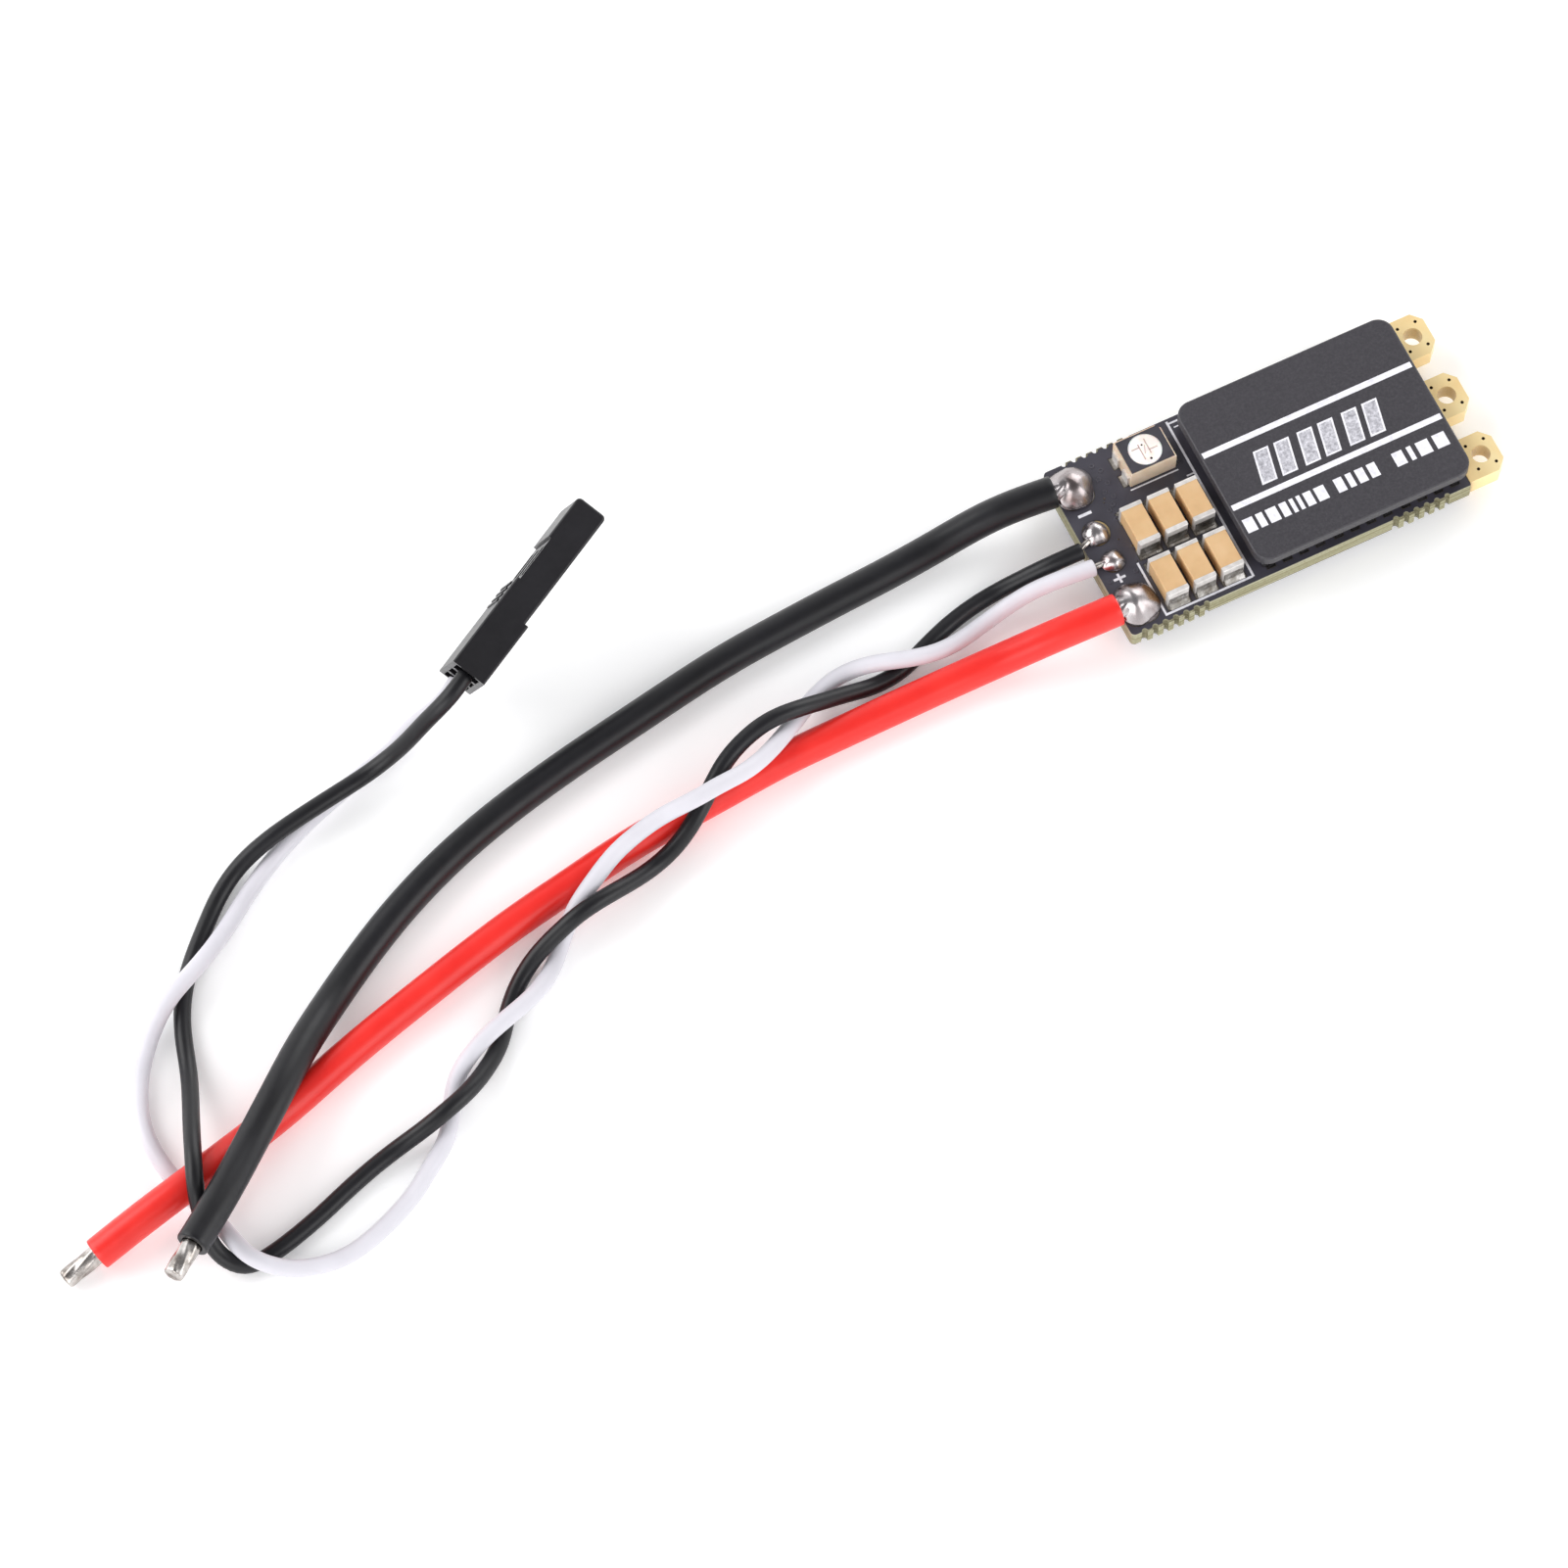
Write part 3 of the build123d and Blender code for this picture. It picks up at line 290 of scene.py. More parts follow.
m = M("black_anodised"); mats["black_anodised"] = m.m
an = m.noise(5600.0, 5.0, 0.7)
broad = m.noise(90.0, 2.0)
c = m.ramp(an, [(0.32, srgb(48, 46, 51)), (0.5, srgb(56, 54, 59)), (0.70, srgb(66, 64, 69))])
m.color(m.mix(m.ramp(broad, [(0.3, (0.0,) * 3), (0.75, (0.22,) * 3)]), c, srgb(70, 68, 74)))
m.set(Metallic=0.1, Specular_IOR_Level=0.4, Coat_Weight=0.3, Coat_Roughness=0.2)
m.rough(an, 0.48, 0.66)
m.bump(an, 0.006, 0.7)

m = M("led_plastic"); mats["led_plastic"] = m.m
m.color(m.ramp(m.noise(700.0, 2.0), [(0.3, srgb(206, 184, 158)), (0.7, srgb(226, 206, 184))]))
m.rough(m.noise(1500.0), 0.35, 0.5)
m.bump(m.noise(3000.0, 2.0), 0.005, 0.5)
m.set(Subsurface_Weight=0.15, Subsurface_Scale=0.0005)

m = M("black_plastic"); mats["black_plastic"] = m.m
pn = m.noise(3200.0, 4.0)
m.color(m.ramp(m.noise(160.0, 3.0), [(0.3, srgb(19, 18, 21)), (0.7, srgb(29, 28, 32))]))
m.rough(pn, 0.28, 0.44)
m.bump(pn, 0.008, 0.6)
# painted shade: an occlusion mask turns the reflection down in recesses so the latch windows read dark
ao = m.node("ShaderNodeAmbientOcclusion", Distance=0.8 * MM)
ao.samples = 8
sp = m.node("ShaderNodeMapRange")
sp.inputs["From Min"].default_value = 0.35
sp.inputs["From Max"].default_value = 0.85
sp.inputs["To Max"].default_value = 0.45
m.link(ao.outputs["AO"], sp.inputs["Value"])
m.link(sp.outputs["Result"], m.b.inputs["Specular IOR Level"])

m = M("led_mask"); mats["led_mask"] = m.m
m.color(m.ramp(m.noise(900.0, 3.0), [(0.3, srgb(44, 42, 50)), (0.7, srgb(58, 56, 64))]))
m.rough(m.noise(2600.0), 0.5, 0.7)
m.bump(m.noise(3800.0, 3.0), 0.006, 0.6)

m = M("led_resin"); mats["led_resin"] = m.m
rn = m.noise(900.0, 2.0, 0.4, None, 0.8)
m.color(m.ramp(rn, [(0.35, srgb(244, 228, 221)), (0.6, srgb(253, 247, 244))]))
m.rough(m.noise(700.0), 0.12, 0.28)
m.bump(m.noise(500.0, 2.0), 0.03, 0.4)
m.set(IOR=1.45, Coat_Weight=0.4, Coat_Roughness=0.08, Subsurface_Weight=0.2, Subsurface_Scale=0.0003)

m = M("led_die"); mats["led_die"] = m.m
m.color(m.ramp(m.noise(4000.0, 2.0), [(0.3, srgb(92, 96, 104)), (0.7, srgb(140, 146, 156))]))
m.rough(m.noise(3000.0), 0.3, 0.5)
m.bump(m.noise(4000.0), 0.004, 0.5)


def silicone(name, lo, hi, rlo, rhi, coat=0.08, sheen=0.15):
    m = M(name)
    mats[name] = m.m
    m.color(m.ramp(m.noise(210.0, 4.0), [(0.3, lo), (0.7, hi)]))
    m.rough(m.noise(1300.0, 3.0), rlo, rhi)
    nb = m.bump(m.noise(380.0, 2.0), 0.05, 0.35)
    m.bump(m.noise(5200.0, 3.0), 0.006, 0.5, nb)
    m.set(Sheen_Weight=sheen, Sheen_Roughness=0.4, Coat_Weight=coat, Coat_Roughness=0.3, Specular_IOR_Level=0.38)
    return m


silicone("red_silicone", srgb(222, 36, 31), srgb(235, 48, 41), 0.28, 0.42, 0.15, 0.0)
silicone("black_silicone", srgb(14, 14, 17), srgb(23, 23, 27), 0.32, 0.48, 0.05, 0.0)
silicone("white_silicone", srgb(206, 204, 211), srgb(218, 216, 223), 0.36, 0.52, 0.10, 0.02)

m = M("tinned_copper"); mats["tinned_copper"] = m.m
m.color(m.ramp(m.noise(900.0, 3.0), [(0.32, srgb(126, 118, 112)), (0.5, srgb(184, 178, 173)), (0.7, srgb(220, 216, 213))]))
m.set(Metallic=1.0)
m.rough(m.noise(900.0), 0.16, 0.36)
m.bump(m.noise(1200.0, 3.0), 0.03, 0.6)

# painted shade: tinned pads and terminals under the cover plate get a near-black colour for the shade they sit in
m = M("tin_in_painted_shade"); mats["tin_in_painted_shade"] = m.m
m.color(m.ramp(m.noise(1500.0), [(0.3, srgb(26, 25, 27)), (0.7, srgb(60, 57, 58))]))
m.set(Metallic=0.5)
m.rough(m.noise(900.0), 0.3, 0.6)
m.bump(m.noise(2400.0, 3.0), 0.02, 0.6)

m = M("flux"); mats["flux"] = m.m
m.color(m.ramp(m.noise(1800.0, 3.0), [(0.3, srgb(30, 24, 22)), (0.7, srgb(70, 56, 48))]))
m.rough(m.noise(900.0), 0.06, 0.25)
m.bump(m.noise(1600.0, 3.0), 0.02, 0.6)
m.set(Coat_Weight=0.7, Coat_Roughness=0.05)

m = M("led_wire"); mats["led_wire"] = m.m
m.color(m.ramp(m.noise(2400.0, 2.0), [(0.3, srgb(176, 150, 140)), (0.7, srgb(206, 182, 170))]))
m.set(Metallic=0.3)
m.rough(m.noise(900.0), 0.3, 0.5)
m.bump(m.noise(2600.0), 0.004, 0.4)

# transistor pads and terminals use the near-black tin: painted shade under the cover plate
SPECIAL = {"led_top_mask": "led_mask", "capacitor_solder": "cap_solder", "capacitor_pads": "cap_solder", "led_pads": "cap_solder",
           "transistor_pads": "tin_in_painted_shade", "transistor_terminals": "tin_in_painted_shade", "power_pad_negative": "solder",
           "power_pad_positive": "solder"}
slot_of = {s["node"]: s["material_slot"] for s in frame["record"]["subparts"]}
for name, o in nodes.items():
    key = SPECIAL.get(name, slot_of[name])
    o.data.materials.clear()
    o.data.materials.append(mats[key])


# --------------------------------------------------------------- mesh helpers
def new_mesh(name, verts, faces, material, smooth=True):
    me = bpy.data.meshes.new(name)
    me.from_pydata([tuple(np.asarray(v) * MM) for v in verts], [], faces)
    me.validate()
    me.materials.append(mats[material])
    ob = bpy.data.objects.new(name, me)
    scene.collection.objects.link(ob)
    for p in me.polygons:
        p.use_smooth = smooth
    me.update()
    return ob


def bevel(o, width_mm, seg=2, angle=35):
    md = o.modifiers.new("edge", "BEVEL")
    md.width = width_mm * MM
    md.segments = seg
    md.limit_method = "ANGLE"
    md.angle_limit = math.radians(angle)
    md.harden_normals = False


def spline_through(pts, step):
    """Natural cubic spline through the knots, sampled every step millimetres."""
    P = np.array(pts, float)
    d = np.r_[0, np.cumsum(np.linalg.norm(np.diff(P, axis=0), axis=1))]
    n = len(P)
    h = np.diff(d)
    K = np.zeros((n, n)); R = np.zeros((n, 3))
    K[0, 0] = K[-1, -1] = 1
    for i in range(1, n - 1):
        K[i, i - 1] = h[i - 1]; K[i, i] = 2 * (h[i - 1] + h[i]); K[i, i + 1] = h[i]
        R[i] = 6 * ((P[i + 1] - P[i]) / h[i] - (P[i] - P[i - 1]) / h[i - 1])
    S = np.linalg.solve(K, R)
    u = np.linspace(0, d[-1], int(round(d[-1] / step)) + 1)
    k = np.clip(np.searchsorted(d, u, side="right") - 1, 0, n - 2)
    a = (d[k + 1] - u)[:, None]; b = (u - d[k])[:, None]; hk = h[k][:, None]
    return (S[k] * a ** 3 + S[k + 1] * b ** 3) / (6 * hk) + (P[k] / hk - S[k] * hk / 6) * a + (P[k + 1] / hk - S[k + 1] * hk / 6) * b


def frames(P):
    T = np.gradient(P, axis=0)
    T /= np.linalg.norm(T, axis=1)[:, None]
    S = np.cross(np.array([0, 0, 1.0]), T)
    S /= np.linalg.norm(S, axis=1)[:, None]
    U = np.cross(T, S)
    return T, S, U


def swept(name, P, radii, material, seg=32, wobble=0.0, twist=0.0, lobes=0, lobe=0.0, smooth=True):
    """Closed round body along P. radii is a list of (index along P, shift mm, radius mm) rings."""
    T, S, U = frames(P)
    th = np.arange(seg) * 2 * math.pi / seg
    verts, faces = [], []
    along = np.r_[0, np.cumsum(np.linalg.norm(np.diff(P, axis=0), axis=1))]
    for i, sh, r in radii:
        c = P[i] + T[i] * sh
        rr = np.full(seg, r)
        if wobble:
            rr = rr + wobble * (np.sin(2 * th + along[i] * 0.9) * 0.6 + np.sin(3 * th - along[i] * 1.7) * 0.4)
        if lobes:
            rr = rr + lobe * np.cos(lobes * (th + twist * (along[i] + sh)))
        for t, q in zip(th, rr):
            verts.append(c + S[i] * math.cos(t) * q + U[i] * math.sin(t) * q)
    n = len(radii)
    for k in range(n - 1):
        for j in range(seg):
            a, b = k * seg + j, k * seg + (j + 1) % seg
            faces.append((a, b, b + seg, a + seg))
    faces.append(tuple(range(seg))[::-1])
    faces.append(tuple(range((n - 1) * seg, n * seg)))
    ob = new_mesh(name, verts, faces, material, smooth)
    me = ob.data
    caps = [p for p in me.polygons if len(p.vertices) == seg and seg > 4]
    keys = set()
    for p in caps:
        p.use_smooth = False
        keys |= {tuple(sorted(k)) for k in p.edge_keys}
    for e in me.edges:
        if tuple(sorted(e.vertices)) in keys:
            e.use_edge_sharp = True
    return ob


def sleeve_rings(i0, i1, R, bore, start=True, end=True, deep=1.0):
    """Rings for a hollow-looking insulation sleeve with softly rounded cut ends."""
    rings = []
    if start:
        rings += [(i0, deep, bore), (i0, 0.03, bore), (i0, 0.0, bore + 0.03), (i0, -0.01, R - 0.10), (i0, 0.02, R - 0.03), (i0, 0.10, R)]
    else:
        rings += [(i0, 0.0, R)]
    for i in range(i0 + 1, i1):
        rings.append((i, 0.0, R))
    if end:
        rings += [(i1, -0.10, R), (i1, -0.02, R - 0.03), (i1, 0.01, R - 0.10), (i1, 0.0, bore + 0.03), (i1, -0.03, bore), (i1, -deep, bore)]
    else:
        rings += [(i1, 0.0, R)]
    return rings


def start_at(pts, x):
    a, b = pts[0], pts[1]
    t = (x - a[0]) / (b[0] - a[0])
    return [(x, a[1] + t * (b[1] - a[1]), a[2])] + list(pts[1:])


STEP = 0.4
lines = {}
for key, pts, x in (("neg", NEG_PATH, -28.10), ("pos", POS_PATH, -28.16), ("gnd", GND_PATH, -28.30), ("sig", SIG_PATH, -28.12)):
    q = start_at(pts, x)
    if key in ("gnd", "sig"):
        q[-2] = tuple(np.array(q[-1]) - A * 2.0)
    lines[key] = spline_through(q, STEP)

# ------------------------------------------------------------- battery leads
for key, node, mat in (("neg", "power_lead_negative", "black_silicone"), ("pos", "power_lead_positive", "red_silicone")):
    P = lines[key]
    n = len(P) - 1
    o = swept(node + "_sleeve", P, sleeve_rings(0, n, 1.15, 0.76), mat, 48)
    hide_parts(node + "_insulation")
    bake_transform(o)
    # tinned strands with twisted lobes, coarsely ringed inside the sleeve and finely ringed where they show
    L_TIP = 2.62 if key == "neg" else 2.72
    rings = [(i, 0.0, 0.62) for i in range(1, n - 2, 4)]
    rings += [(n, s_, 0.62 + 0.06 * min(1.0, (s_ + 1.0) / 1.3)) for s_ in np.linspace(-1.0, L_TIP - 0.24, 40)]
    rings += [(n, L_TIP - 0.14, 0.665), (n, L_TIP - 0.06, 0.63), (n, L_TIP - 0.01, 0.55), (n, L_TIP, 0.40), (n, L_TIP - 0.05, 0.16)]
    c = swept(node + "_strands", P, rings, "tinned_copper", 72, 0.012, 0.55, 7, 0.020)
    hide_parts(node + "_conductor")
    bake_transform(c)

# ----------------------------------------------------------------- thin leads
for key, node, mat in (("gnd", "ground_lead", "black_silicone"), ("sig", "signal_lead", "white_silicone")):
    P = lines[key]
    n = len(P) - 1
    # the near and far lengths meet under the thick black lead
    # (seen from the camera side the thick lead covers this place)
    B = lines["neg"]
    view = np.array([0.18142631, 0.36741107, -0.91219165])
    Pp, Bp = [q - np.outer(q @ view, view) for q in (P, B)]
    gap = np.array([np.min(np.linalg.norm(Bp - q, axis=1)) for q in Pp])
    depth = np.array([(B[int(np.argmin(np.linalg.norm(Bp - q, axis=1)))] - p) @ view for q, p in zip(Pp, P)])
    gap[depth > 0] = 99.0
    gap[:60] = 99.0
    cut = int(np.argmin(gap))
    for part, (i0, i1) in (("near", (0, cut)), ("far", (cut, n))):
        o = swept(node + "_sleeve_" + part, P, sleeve_rings(i0, i1, 0.60, 0.26, part == "near", part == "far", 0.6), mat, 32)
        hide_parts(node + "_insulation")
        i0c = i0 if part == "far" else i0 + 1
        c = swept(node + "_strands_" + part, P, [(i, 0.0, 0.19) for i in range(i0c, i1 - (2 if part == "far" else 0), 2)] + [(i1, -0.5 if part == "far" else 0.0, 0.19)], "tinned_copper", 14)
        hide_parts(node + "_conductor")
        for piece in (o, c):
            if part == "near":
                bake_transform(piece)
            else:
                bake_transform(piece)


# -------------------------------------------------------------- solder joints
def lump(x, y, seed):
    """Smooth deterministic unevenness, about -1 to 1."""
    s = seed
    return (math.sin(2.3 * x + 1.7 * y + s) + 0.7 * math.sin(-1.9 * x + 3.1 * y + 2.1 * s) + 0.5 * math.sin(4.2 * x + 0.6 * y + 3.7 * s)) / 2.2


def mound(name, node, cx, cy, rx, ry, h, seed, wire_y, wire_z, wire_r, x_out, power=2.6, lean=(0.0, 0.0), amp=0.07):
    """Solder mound: rounded plan, convex crown, concave foot, and a ridge over the wire that enters at -X."""
    nr, na = 26, 72
    verts, faces = [(cx, cy, ZT)], []
    tops = []
    for k in range(nr + 1):
        t = k / nr
        for j in range(na):
            th = 2 * math.pi * j / na
            c, s = math.cos(th), math.sin(th)
            b = 1.0 / ((abs(c) / rx) ** power + (abs(s) / ry) ** power) ** (1 / power)
            b *= 1 + 0.045 * math.sin(3 * th + seed) + 0.03 * math.sin(5 * th + 2 * seed)
            x, y = cx + c * b * t, cy + s * b * t
            crown = max(0.0, 1 - t ** 2.4) ** 0.85
            foot = 0.10 * max(0.0, 1 - t) ** 0.5
            z = h * (0.9 * crown + foot) * (1 + lean[0] * (x - cx) / rx + lean[1] * (y - cy) / ry)
            z += amp * h * lump(x * 0.8, y * 0.8, seed) * crown
            # ridge over the wire, blended softly into the crown
            u = (y - wire_y) / (wire_r * 1.25)
            run = 1.0 / (1.0 + math.exp((x - cx + 0.2) * 5.0))
            edge = min(1.0, max(0.0, (1 - t) / 0.06))
            ridge = (wire_z - ZT + wire_r * 1.05) * math.exp(-u * u * 1.1) * run * edge
            sm = 0.25 * h
            hh = max(0.0, min(1.0, 0.5 + 0.5 * (ridge - z) / sm))
            z = z * (1 - hh) + ridge * hh + sm * hh * (1 - hh) * edge
            z = max(z, 0.0) if k < nr else 0.0
            tops.append((x, y, ZT + z))
    apex = (cx, cy, sum(p[2] for p in tops[:na]) / na)
    verts = [apex] + tops[na:]
    for j in range(na):
        faces.append((0, 1 + j, 1 + (j + 1) % na))
    for k in range(nr - 1):
        for j in range(na):
            a = 1 + k * na + j; b = 1 + k * na + (j + 1) % na
            faces.append((a, a + na, b + na, b))
    rim = [1 + (nr - 1) * na + j for j in range(na)]
    faces.append(tuple(rim[::-1]))
    o = new_mesh(name, verts, faces, "solder")
    ss = o.modifiers.new("soft", "SUBSURF"); ss.levels = 1; ss.render_levels = 1
    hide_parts(node)
    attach(o, "controller")
    return o


mound("solder_negative", "solder_joint_negative", -26.74, 4.93, 1.54, 1.68, 1.50, 0.6, 5.10, 1.42, 0.80, -28.6, 2.5, (-0.03, 0.05), 0.05)
mound("solder_positive", "solder_joint_positive", -26.70, -4.88, 1.56, 1.66, 1.50, 2.1, -4.80, 1.42, 0.80, -28.7, 2.3, (-0.14, 0.14), 0.06)
mound("solder_ground", "solder_joint_ground", -26.84, 1.14, 0.94, 0.96, 0.80, 3.3, 0.92, 1.06, 0.30, -28.4, 2.2, (0.0, 0.0), 0.10)
mound("solder_signal", "solder_joint_signal", -26.72, -1.25, 0.90, 0.84, 0.72, 4.7, -1.20, 1.06, 0.28, -28.4, 2.2, (0.0, 0.0), 0.10)

# bare tinned ends between the sleeves and the solder
tails = []
for k, (a, b, r, lob) in enumerate((((-28.7, 5.12, 1.42), (-26.6, 4.95, 1.46), 0.74, 8), ((-28.7, -4.85, 1.42), (-26.6, -4.90, 1.46), 0.74, 8),
                                    ((-28.9, 0.32, 1.10), (-26.6, 1.08, 1.04), 0.23, 6), ((-28.9, -1.16, 1.10), (-26.4, -1.25, 1.04), 0.23, 6))):
    P = np.array([np.array(a) + (np.array(b) - np.array(a)) * t for t in np.linspace(0, 1, 24)])
    tails.append(swept("lead_tail_%d" % k, P, [(i, 0.0, r) for i in range(24)], "solder" if k < 2 else "tinned_copper", 48, 0.0, 1.2, lob, r * 0.05))
for o in tails:
    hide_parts("lead_tails")
    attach(o, "controller")


def ring_mesh(name, cx, cy, z, r0, r1, h, material, seg=32, sx=1.0, sy=1.0):
    """Low rounded ring lying on a surface, square in section with softened top."""
    prof = [(r0, 0.0), (r0, h * 0.7), (r0 + 0.25 * (r1 - r0), h), (r1 - 0.25 * (r1 - r0), h), (r1, h * 0.7), (r1, 0.0)]
    verts, faces = [], []
    for j in range(seg):
        th = 2 * math.pi * j / seg
        for r, zz in prof:
            verts.append((cx + r * sx * math.cos(th), cy + r * sy * math.sin(th), z + zz))
    n = len(prof)
    for j in range(seg):
        for k in range(n):
            a = j * n + k; b = j * n + (k + 1) % n
            c = ((j + 1) % seg) * n + (k + 1) % n; d = ((j + 1) % seg) * n + k
            faces.append((a, d, c, b))
    return new_mesh(name, verts, faces, material)


def dot_mesh(name, cx, cy, z, r, h, material, seg=24):
    """Small low dome with a flat foot."""
    verts, faces = [], []
    levels = [(1.0, 0.0), (0.96, 0.45), (0.78, 0.8), (0.45, 0.96)]
    for f, g in levels:
        for j in range(seg):
            th = 2 * math.pi * j / seg
            verts.append((cx + r * f * math.cos(th), cy + r * f * math.sin(th), z + h * g))
    top = len(verts); verts.append((cx, cy, z + h))
    for k in range(len(levels) - 1):
        for j in range(seg):
            a = k * seg + j; b = k * seg + (j + 1) % seg
            faces.append((a, b, b + seg, a + seg))
    k = (len(levels) - 1) * seg
    for j in range(seg):
        faces.append((k + j, k + (j + 1) % seg, top))
    faces.append(tuple(range(seg))[::-1])
    return new_mesh(name, verts, faces, material)


def bar_mesh(name, p, q, w, h, material):
    """Thin raised strip between two points, softened by a bevel."""
    p, q = np.array(p, float), np.array(q, float)
    d = q - p; L = np.linalg.norm(d); d /= L
    sd = np.array([-d[1], d[0], 0]) * w / 2
    up = np.array([0, 0, h])
    v = [p - sd, p + sd, q + sd, q - sd, p - sd + up, p + sd + up, q + sd + up, q - sd + up]
    f = [(0, 1, 2, 3), (4, 7, 6, 5), (0, 4, 5, 1), (1, 5, 6, 2), (2, 6, 7, 3), (3, 7, 4, 0)]
    o = new_mesh(name, v, f, material, False)
    bevel(o, min(w, h) * 0.3, 2)
    return o


def on_board(o):
    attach(o, "controller")
    return o


# covered vias and stray solder on the mask beside the status light and pads
VIAS = [(-24.70, 5.90), (-24.30, 5.35), (-24.75, 4.80), (-24.25, 4.30), (-24.80, 3.75), (-24.35, 3.20), (-24.70, 2.65),
        (-24.95, 1.55), (-24.60, 1.95), (-25.10, 2.35), (-25.55, -2.55), (-27.55, -2.55), (-19.05, 3.55), (-19.00, 4.55), (-19.05, 5.55)]
for k, (x, y) in enumerate(VIAS):
    on_board(ring_mesh("via_%02d" % k, x, y, ZT - 0.004, 0.09, 0.20, 0.035, "solder_mask", 24))
on_board(bar_mesh("edge_line_a", (-18.48, 6.50, ZT - 0.002), (-17.70, 6.50, ZT - 0.002), 0.14, 0.02, "white_ink"))
on_board(bar_mesh("edge_line_b", (-18.20, 6.10, ZT - 0.002), (-17.85, 6.10, ZT - 0.002), 0.10, 0.02, "white_ink"))
for k, (x, y, r, h) in enumerate(((-25.05, 3.30, 0.10, 0.07), (-25.60, 0.10, 0.08, 0.05), (-25.20, 3.05, 0.07, 0.05), (-25.35, -3.05, 0.07, 0.05),
                                  (-24.95, -0.75, 0.09, 0.05), (-25.15, -1.95, 0.06, 0.05))):
    on_board(dot_mesh("flux_spot_%d" % k, x, y, ZT - 0.003, r, h, "flux"))
# torn-off nibs of laminate between the break-off perforations
def nibs(name, x0, n, side, seed):
    verts, faces = [], []
    for i in range(n):
        x = x0 + i * 0.8
        j = 0.03 * math.sin(seed + 2.7 * i)
        out = 0.14 + 0.05 * math.sin(seed * 2 + 1.9 * i)
        prof = [(-0.20, -0.10), (-0.17, out * 0.55), (-0.08 + j, out), (0.07 + j, out * 0.92), (0.17, out * 0.5), (0.20, -0.10)]
        b = len(verts)
        for z, k in ((-0.72, 0.55), (-0.45, 1.0), (0.40, 0.9), (0.74, 0.6)):
            for u, v in prof:
                verts.append((x + u, side * (6.9 + (v * k if v > 0 else v)), z))
        m_ = len(prof)
        for q in range(3):
            for p in range(m_):
                a = b + q * m_ + p; c = b + q * m_ + (p + 1) % m_
                f = (a, c, c + m_, a + m_)
                faces.append(f if side > 0 else f[::-1])
        lo = tuple(b + p for p in range(m_)); hi = tuple(b + 3 * m_ + p for p in range(m_))
        faces.append(lo[::-1] if side > 0 else lo)
        faces.append(hi if side > 0 else hi[::-1])
    return new_mesh(name, verts, faces, "laminate", False)


for k, (x0, n, side) in enumerate(((-26.70, 6, -1), (-7.20, 5, -1), (-25.95, 6, 1), (-7.20, 5, 1))):
    on_board(nibs("board_nibs_%d" % k, x0, n, side, 0.7 + k))

# inside of the status light's window: bond lines and two dots under clear resin
LX, LY, LZ = -21.26, 4.68, 2.637
for k, (x0, y0, x1, y1, w) in enumerate(((-0.30, -0.72, -0.30, 0.55, 0.07), (0.28, -0.42, 0.28, 0.80, 0.07), (-0.88, 0.30, -0.30, 0.30, 0.07),
                                          (0.28, -0.12, 0.90, -0.12, 0.07), (-0.12, -0.30, 0.12, 0.34, 0.04))):
    on_board(bar_mesh("led_line_%d" % k, (LX + x0, LY + y0, LZ), (LX + x1, LY + y1, LZ), w, 0.018, "led_wire"))
for k, (x, y, r) in enumerate(((-0.05, 0.42, 0.075), (0.10, -0.78, 0.095))):
    on_board(dot_mesh("led_dot_%d" % k, LX + x, LY + y, LZ, r, 0.022, "flux"))


# ------------------------------------------------- edges of the carried nodes
for name, width in (("capacitor_end_caps", 0.05), ("led_housing", 0.06), 
                    ("power_transistors", 0.03), ("microcontroller", 0.03), ("gate_driver", 0.03),
                    ("small_part_terminals", 0.03), ("led_terminals", 0.04), ("transistor_terminals", 0.02),
                    ("plug_contact_ground", 0.03), ("plug_contact_signal", 0.03)):
    bevel(nodes[name], width)

# -------------------------------------------------------------- floor, lights
floor_z = -1.83 * MM
me = bpy.data.meshes.new("floor")
s = 2.5
me.from_pydata([(-s, -s, floor_z), (s, -s, floor_z), (s, s, floor_z), (-s, s, floor_z)], [], [(0, 1, 2, 3)])
floor = bpy.data.objects.new("floor", me)
scene.collection.objects.link(floor)
m = M("floor_white")
m.color(m.ramp(m.noise(3.0), [(0.3, (0.93,) * 3), (0.7, (0.95,) * 3)]))
m.set(Roughness=0.9, Specular_IOR_Level=0.1, Emission_Color=(1.0, 1.0, 1.0, 1.0), Emission_Strength=0.16)
me.materials.append(m.m)

world = bpy.data.worlds.new("studio"); scene.world = world
world.use_nodes = True
wn = world.node_tree
bg = wn.nodes["Background"]
bg.inputs["Strength"].default_value = 1.0
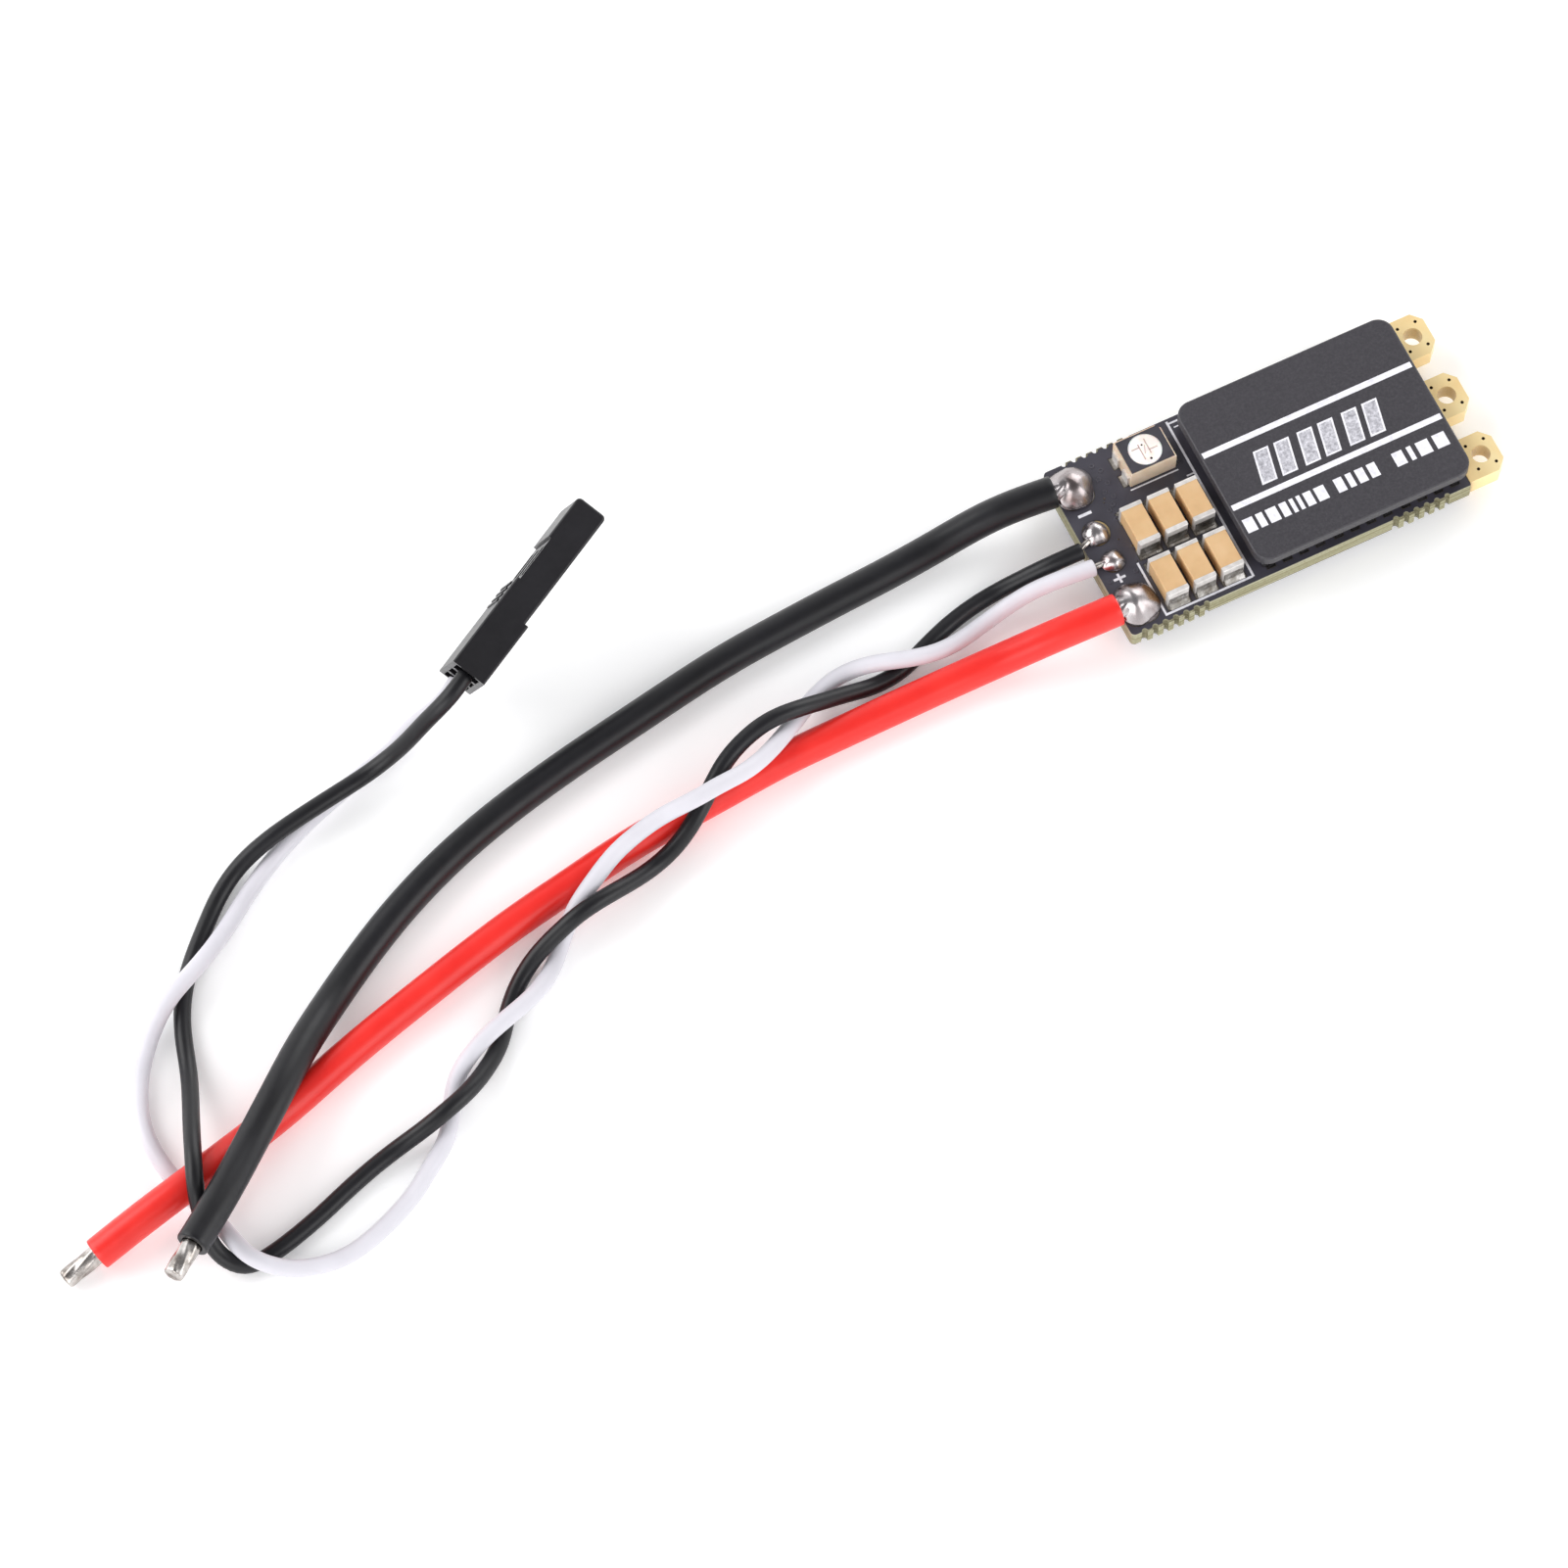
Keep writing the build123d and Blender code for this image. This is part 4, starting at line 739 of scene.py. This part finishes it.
# bright all round, dimmer overhead, so that flat black faces stay dark
tc = wn.nodes.new("ShaderNodeTexCoord")
sep = wn.nodes.new("ShaderNodeSeparateXYZ")
wn.links.new(tc.outputs["Generated"], sep.inputs["Vector"])
wr = wn.nodes.new("ShaderNodeValToRGB")
wn.links.new(sep.outputs["Z"], wr.inputs["Fac"])
e = wr.color_ramp.elements
e[0].position = 0.0; e[0].color = (1.20, 1.20, 1.21, 1)
e[1].position = 1.0; e[1].color = (0.22, 0.22, 0.23, 1)
q = e.new(0.55); q.color = (0.93, 0.93, 0.94, 1)
q = e.new(0.80); q.color = (0.30, 0.30, 0.31, 1)
wn.links.new(wr.outputs["Color"], bg.inputs["Color"])


def area(name, loc, target, size, power, sy=None):
    L = bpy.data.lights.new(name, "AREA")
    L.energy = power
    L.shape = "RECTANGLE"
    L.size = size; L.size_y = sy or size
    o = bpy.data.objects.new(name, L)
    o.location = Vector(loc)
    d = Vector(target) - Vector(loc)
    o.rotation_euler = d.to_track_quat("-Z", "Y").to_euler()
    scene.collection.objects.link(o)
    return o


mid = (-0.05, -0.005, 0.0)
area("key", (-0.44, 0.32, 0.36), mid, 0.50, 2.3, 0.50)
area("right", (0.42, 0.36, 0.34), mid, 0.45, 1.35, 0.45)
area("front_right", (0.36, -0.42, 0.34), mid, 0.45, 1.3, 0.45)
area("front_left", (-0.46, -0.36, 0.36), mid, 0.45, 1.5, 0.45)

cam_d = bpy.data.cameras.new("camera")
cam = bpy.data.objects.new("camera", cam_d)
scene.collection.objects.link(cam)
R0 = Vector((0.89797542, -0.44004351, 0.00135883))
D0 = Vector((-0.40090477, -0.81937221, -0.40976158))
F0 = Vector((0.18142631, 0.36741107, -0.91219165))
rot = Matrix((R0, -D0, -F0)).transposed()
cam.matrix_world = Matrix.Translation(Vector((-163.49494992, -227.18083407, 548.99398009)) * MM) @ rot.to_4x4()
cam_d.sensor_width = 36.0
cam_d.lens = 202.3735
cam_d.clip_start = 0.01
cam_d.clip_end = 10.0
scene.camera = cam
scene.view_settings.view_transform = "Standard"
scene.view_settings.look = "None"
